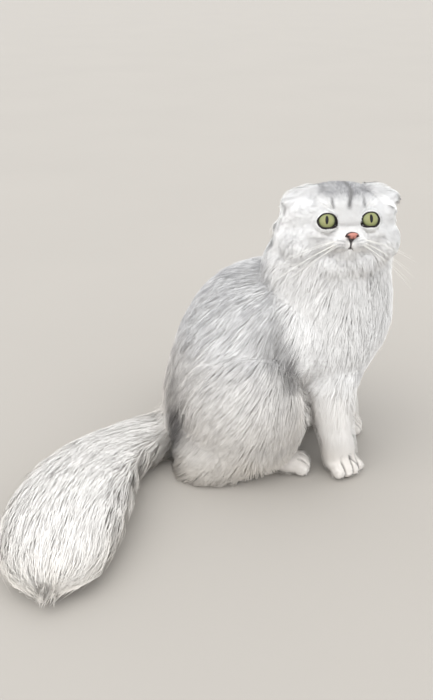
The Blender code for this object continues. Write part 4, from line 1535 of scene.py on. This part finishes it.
def build_nose(name):
    """Nose leather: broad above, narrow below, with two nostrils and a groove."""
    shape = bmesh.new()
    bmesh.ops.create_uvsphere(shape, u_segments=64, v_segments=40, radius=1.0)
    places = np.array([v.co for v in shape.verts])
    side, ahead, rise = places[:, 0], -places[:, 1], places[:, 2]
    wing_rise, wing_breadth, wing_reach = NOSE_WINGS
    wings = wing_reach * hump((rise - wing_rise, wing_breadth))
    narrow = 1.0 - NOSE_TAPER * smooth_step(0.25, -1.0, rise) + wings
    low = np.where(rise < 0, rise * 1.15, rise * 0.85)
    front = smooth_step(0.0, 0.6, ahead)
    hollows = []
    for across, up, breadth, height, depth in (NOSTRIL, NOSE_SLIT):
        hollow = hump((np.abs(side) - across, breadth), (rise - up, height)) * front
        hollows.append((hollow, depth))
    groove = hump((side, NOSE_GROOVE[0])) * smooth_step(0.2, -0.3, rise) * front
    hollows.append((groove, NOSE_GROOVE[1]))
    push = sum(depth * hollow for hollow, depth in hollows)
    local = np.column_stack([side * narrow, ahead - push, low]) * np.array(NOSE_HALF)
    world = from_head(local + np.array(NOSE_PLACE))
    nose = moved(name, shape, world)
    outline = np.hypot(side, rise)
    nostril, slit = hollows[0][0], hollows[1][0]
    # the leather's dark outline, and painted shade in the nostrils and their slits
    edge = np.maximum.reduce([smooth_step(0.76, 0.90, outline), nostril * 1.6, slit * 1.6,
                              smooth_step(-0.30, -0.62, rise), groove * smooth_step(0.0, -0.4, rise)])
    add_values(nose.data, "edge", np.clip(edge, 0, 1))
    nose.data.shade_smooth()
    return nose


def build_whiskers(name, rng):
    """Long tapering whiskers from the pads and a few over the eyes."""
    forms = []
    for side in (-1.0, 1.0):
        for i, root in enumerate(WHISKER_ROOTS):
            back, down = (rng.uniform(-most, most) for most in WHISKER_JITTER)
            up = WHISKER_WAY[1] - WHISKER_FAN * i + down
            way = unit(np.array((side, WHISKER_WAY[0] + back, up)))
            length = WHISKER_REACH * rng.uniform(*WHISKER_SHARES)
            forms.append(whisker(np.array((side * root[0], *root[1:])), way, length, WHISKER_HALF))
        for i in range(BROW_WHISKERS):
            root = np.array((side * (BROW_ROOT[0] + BROW_STEPS[0] * i), *BROW_ROOT[1:]))
            way = unit(np.array((side * (BROW_WAY[0] + BROW_STEPS[1] * i), *BROW_WAY[1:])))
            forms.append(whisker(root, way, BROW_REACH, BROW_HALF))
    whiskers = joined(name, forms)
    whiskers.data.shade_smooth()
    return whiskers


def whisker(root, way, length, thickness):
    """One whisker, drooping along its length; the root is in the head's frame."""
    points = []
    for step in range(WHISKER_STEPS + 1):
        t = step / WHISKER_STEPS
        drop = np.array((0.0, WHISKER_DROOP[0] * t * t, WHISKER_DROOP[1] * t * t)) * length
        points.append(Vector(from_head(root + way * length * t + drop)))
    places = []
    for i, point in enumerate(points):
        ahead = points[min(i + 1, WHISKER_STEPS)] - points[max(i - 1, 0)]
        turn = ahead.to_track_quat("Z", "Y").to_matrix().to_4x4()
        size = thickness * (1 - WHISKER_TAPER * i / WHISKER_STEPS)
        places.append(Matrix.Translation(point) @ turn @ Matrix.Diagonal((size, size, 1.0, 1.0)))
    return bridged("whisker", places, WHISKER_SIDES)


def hull_surface():
    """The coat's outline, to measure from."""
    hull = coat_hull()
    surface = Surface(hull)
    bpy.data.objects.remove(hull)
    return surface


def tuft_triangles(rings):
    """Triangles of one closed tuft with this many rings, counting its tip."""
    return 6 * rings - 8


def coat_pieces(skin, rng, share):
    """All the tufts, as joined meshes of limited size, each with its group."""
    surface = Surface(skin)
    places, normals, uvs = scatter(surface, rng, share)
    count = len(places)
    lock_roots = rng.permutation(count)[: count // STRANDS_PER_LOCK]
    guides = grow_guides(surface, hull_surface(), places[lock_roots], normals[lock_roots], rng)
    strands, outs, lengths, locks = comb(guides, places, normals, rng)
    groups = coat_at(places)[3]
    widths = MM * (TUFT_WIDTH[0] + TUFT_WIDTH[1] * lengths / MM) * rng.uniform(*WIDTH_SHARES, count)
    grown = rng.triangular(*GROWN, count)
    marks = markings(strands[:, GUIDE_STEPS // 2])
    # how much painted shade the short hair gets
    marks["short"] = short_hair_shade(lengths, places)
    marks["tone"] = 0.5 * rng.random(len(lock_roots))[locks] + 0.5 * rng.random(count)
    pieces = []
    for index, group in enumerate(GROUPS):
        members = np.flatnonzero(groups == index)
        rings = TUFTS[group][1]
        parts = max(1, math.ceil(len(members) * tuft_triangles(rings) / PIECE_TRIANGLES))
        for number, part in enumerate(np.array_split(members, parts)):
            name = f"coat_{group}" if parts == 1 else f"coat_{group}_{number + 1}"
            values = {key: value[part] for key, value in marks.items()}
            hairs, above = (pick(rows[part], rings, grown[part]) for rows in (strands, outs))
            piece = tuft_mesh(name, hairs, above, widths[part], uvs[part], values)
            pieces.append((piece, group))
    return pieces


# Stage

def place_camera():
    """The camera, looking down at the photo's angle."""
    data = bpy.data.cameras.new("camera")
    data.lens = CAMERA_LENS
    data.sensor_width = SENSOR_WIDTH
    camera = bpy.data.objects.new("camera", data)
    bpy.context.scene.collection.objects.link(camera)
    level = Vector((*CAMERA_HEADING, 0.0)).normalized()
    look = level * math.cos(CAMERA_PITCH) - Vector((0, 0, 1)) * math.sin(CAMERA_PITCH)
    camera.location = CAMERA_PLACE
    camera.rotation_euler = look.to_track_quat("-Z", "Y").to_euler()
    bpy.context.scene.camera = camera


def sun_light(name, place, strength, breadth, colour):
    """A broad distant light shining from a place towards the cat."""
    data = bpy.data.lights.new(name, "SUN")
    data.angle = math.radians(breadth)
    data.energy = strength
    data.color = colour
    lamp = bpy.data.objects.new(name, data)
    bpy.context.scene.collection.objects.link(lamp)
    lamp.location = place
    lamp.rotation_euler = (-Vector(place)).to_track_quat("-Z", "Y").to_euler()


def set_stage():
    """Pale floor, two soft lights on the cat's right and a pale surround."""
    shape = bmesh.new()
    bmesh.ops.create_grid(shape, x_segments=2, y_segments=2, size=FLOOR_HALF)
    floor = from_bmesh("floor", shape)
    floor.data.materials.append(floor_finish("floor_pale"))
    world = bpy.data.worlds.new("studio")
    bpy.context.scene.world = world
    world.use_nodes = True
    for slot, value in zip(world.node_tree.nodes["Background"].inputs, SURROUND):
        slot.default_value = value
    for light in LIGHTS:
        sun_light(*light)
    bpy.context.scene.view_settings.view_transform = "Standard"


def finish_piece(piece, material, slot, *nodes):
    """Gives a piece its material and its place in the model."""
    piece.data.materials.clear()
    piece.data.materials.append(material)
    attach(piece, "root")
    if nodes:
        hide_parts(*nodes)


def mark_skin(skin):
    """Stores the coat's markings and the short hair's painted shade on the skin too, and where the skin is
    dark: bare on the lips, painted shade in the grooves between the toes.
    """
    places = vertex_places(skin.data)
    marks = markings(places)
    # how much painted shade the short hair gets
    marks["short"] = short_hair_shade(coat_at(places)[1], places)
    # dark bare lips, and painted shade in the grooves between the toes
    bare = np.maximum(1.5 * mouth_closeness(to_head(places)), 0.8 * toe_gaps(places)[0])
    marks["bare"] = np.clip(bare, 0, DARK_MOST)
    for key, value in marks.items():
        add_values(skin.data, key, value)


def main():
    """Makes every piece, then the stage."""
    rng = np.random.default_rng(SEED)
    skin = build_skin()
    unwrap(skin)
    mark_skin(skin)
    coat = coat_finish("coat")
    for piece, group in coat_pieces(skin, rng, 1.0):
        finish_piece(piece, coat, "silver_coat" if group in SILVER_GROUPS else "white_coat")
    flesh = [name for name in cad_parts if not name.startswith(("eye", "nose"))]
    finish_piece(skin, skin_finish("skin_nap"), "white_coat", *flesh)
    eye_material, rim_material = eye_finish("iris"), rim_finish("lid_edge")
    for side, end in ((1.0, "left"), (-1.0, "right")):
        finish_piece(build_eye(f"eyeball_{end}", side), eye_material, "eye", f"eye_{end}")
        finish_piece(build_rim(f"lid_edge_{end}", side), rim_material, "nose_leather")
    finish_piece(build_nose("nose_pad"), nose_finish("nose_skin"), "nose_leather", "nose")
    finish_piece(build_whiskers("whiskers", rng), whisker_finish("whisker_hair"), "white_coat")
    set_stage()
    place_camera()


main()
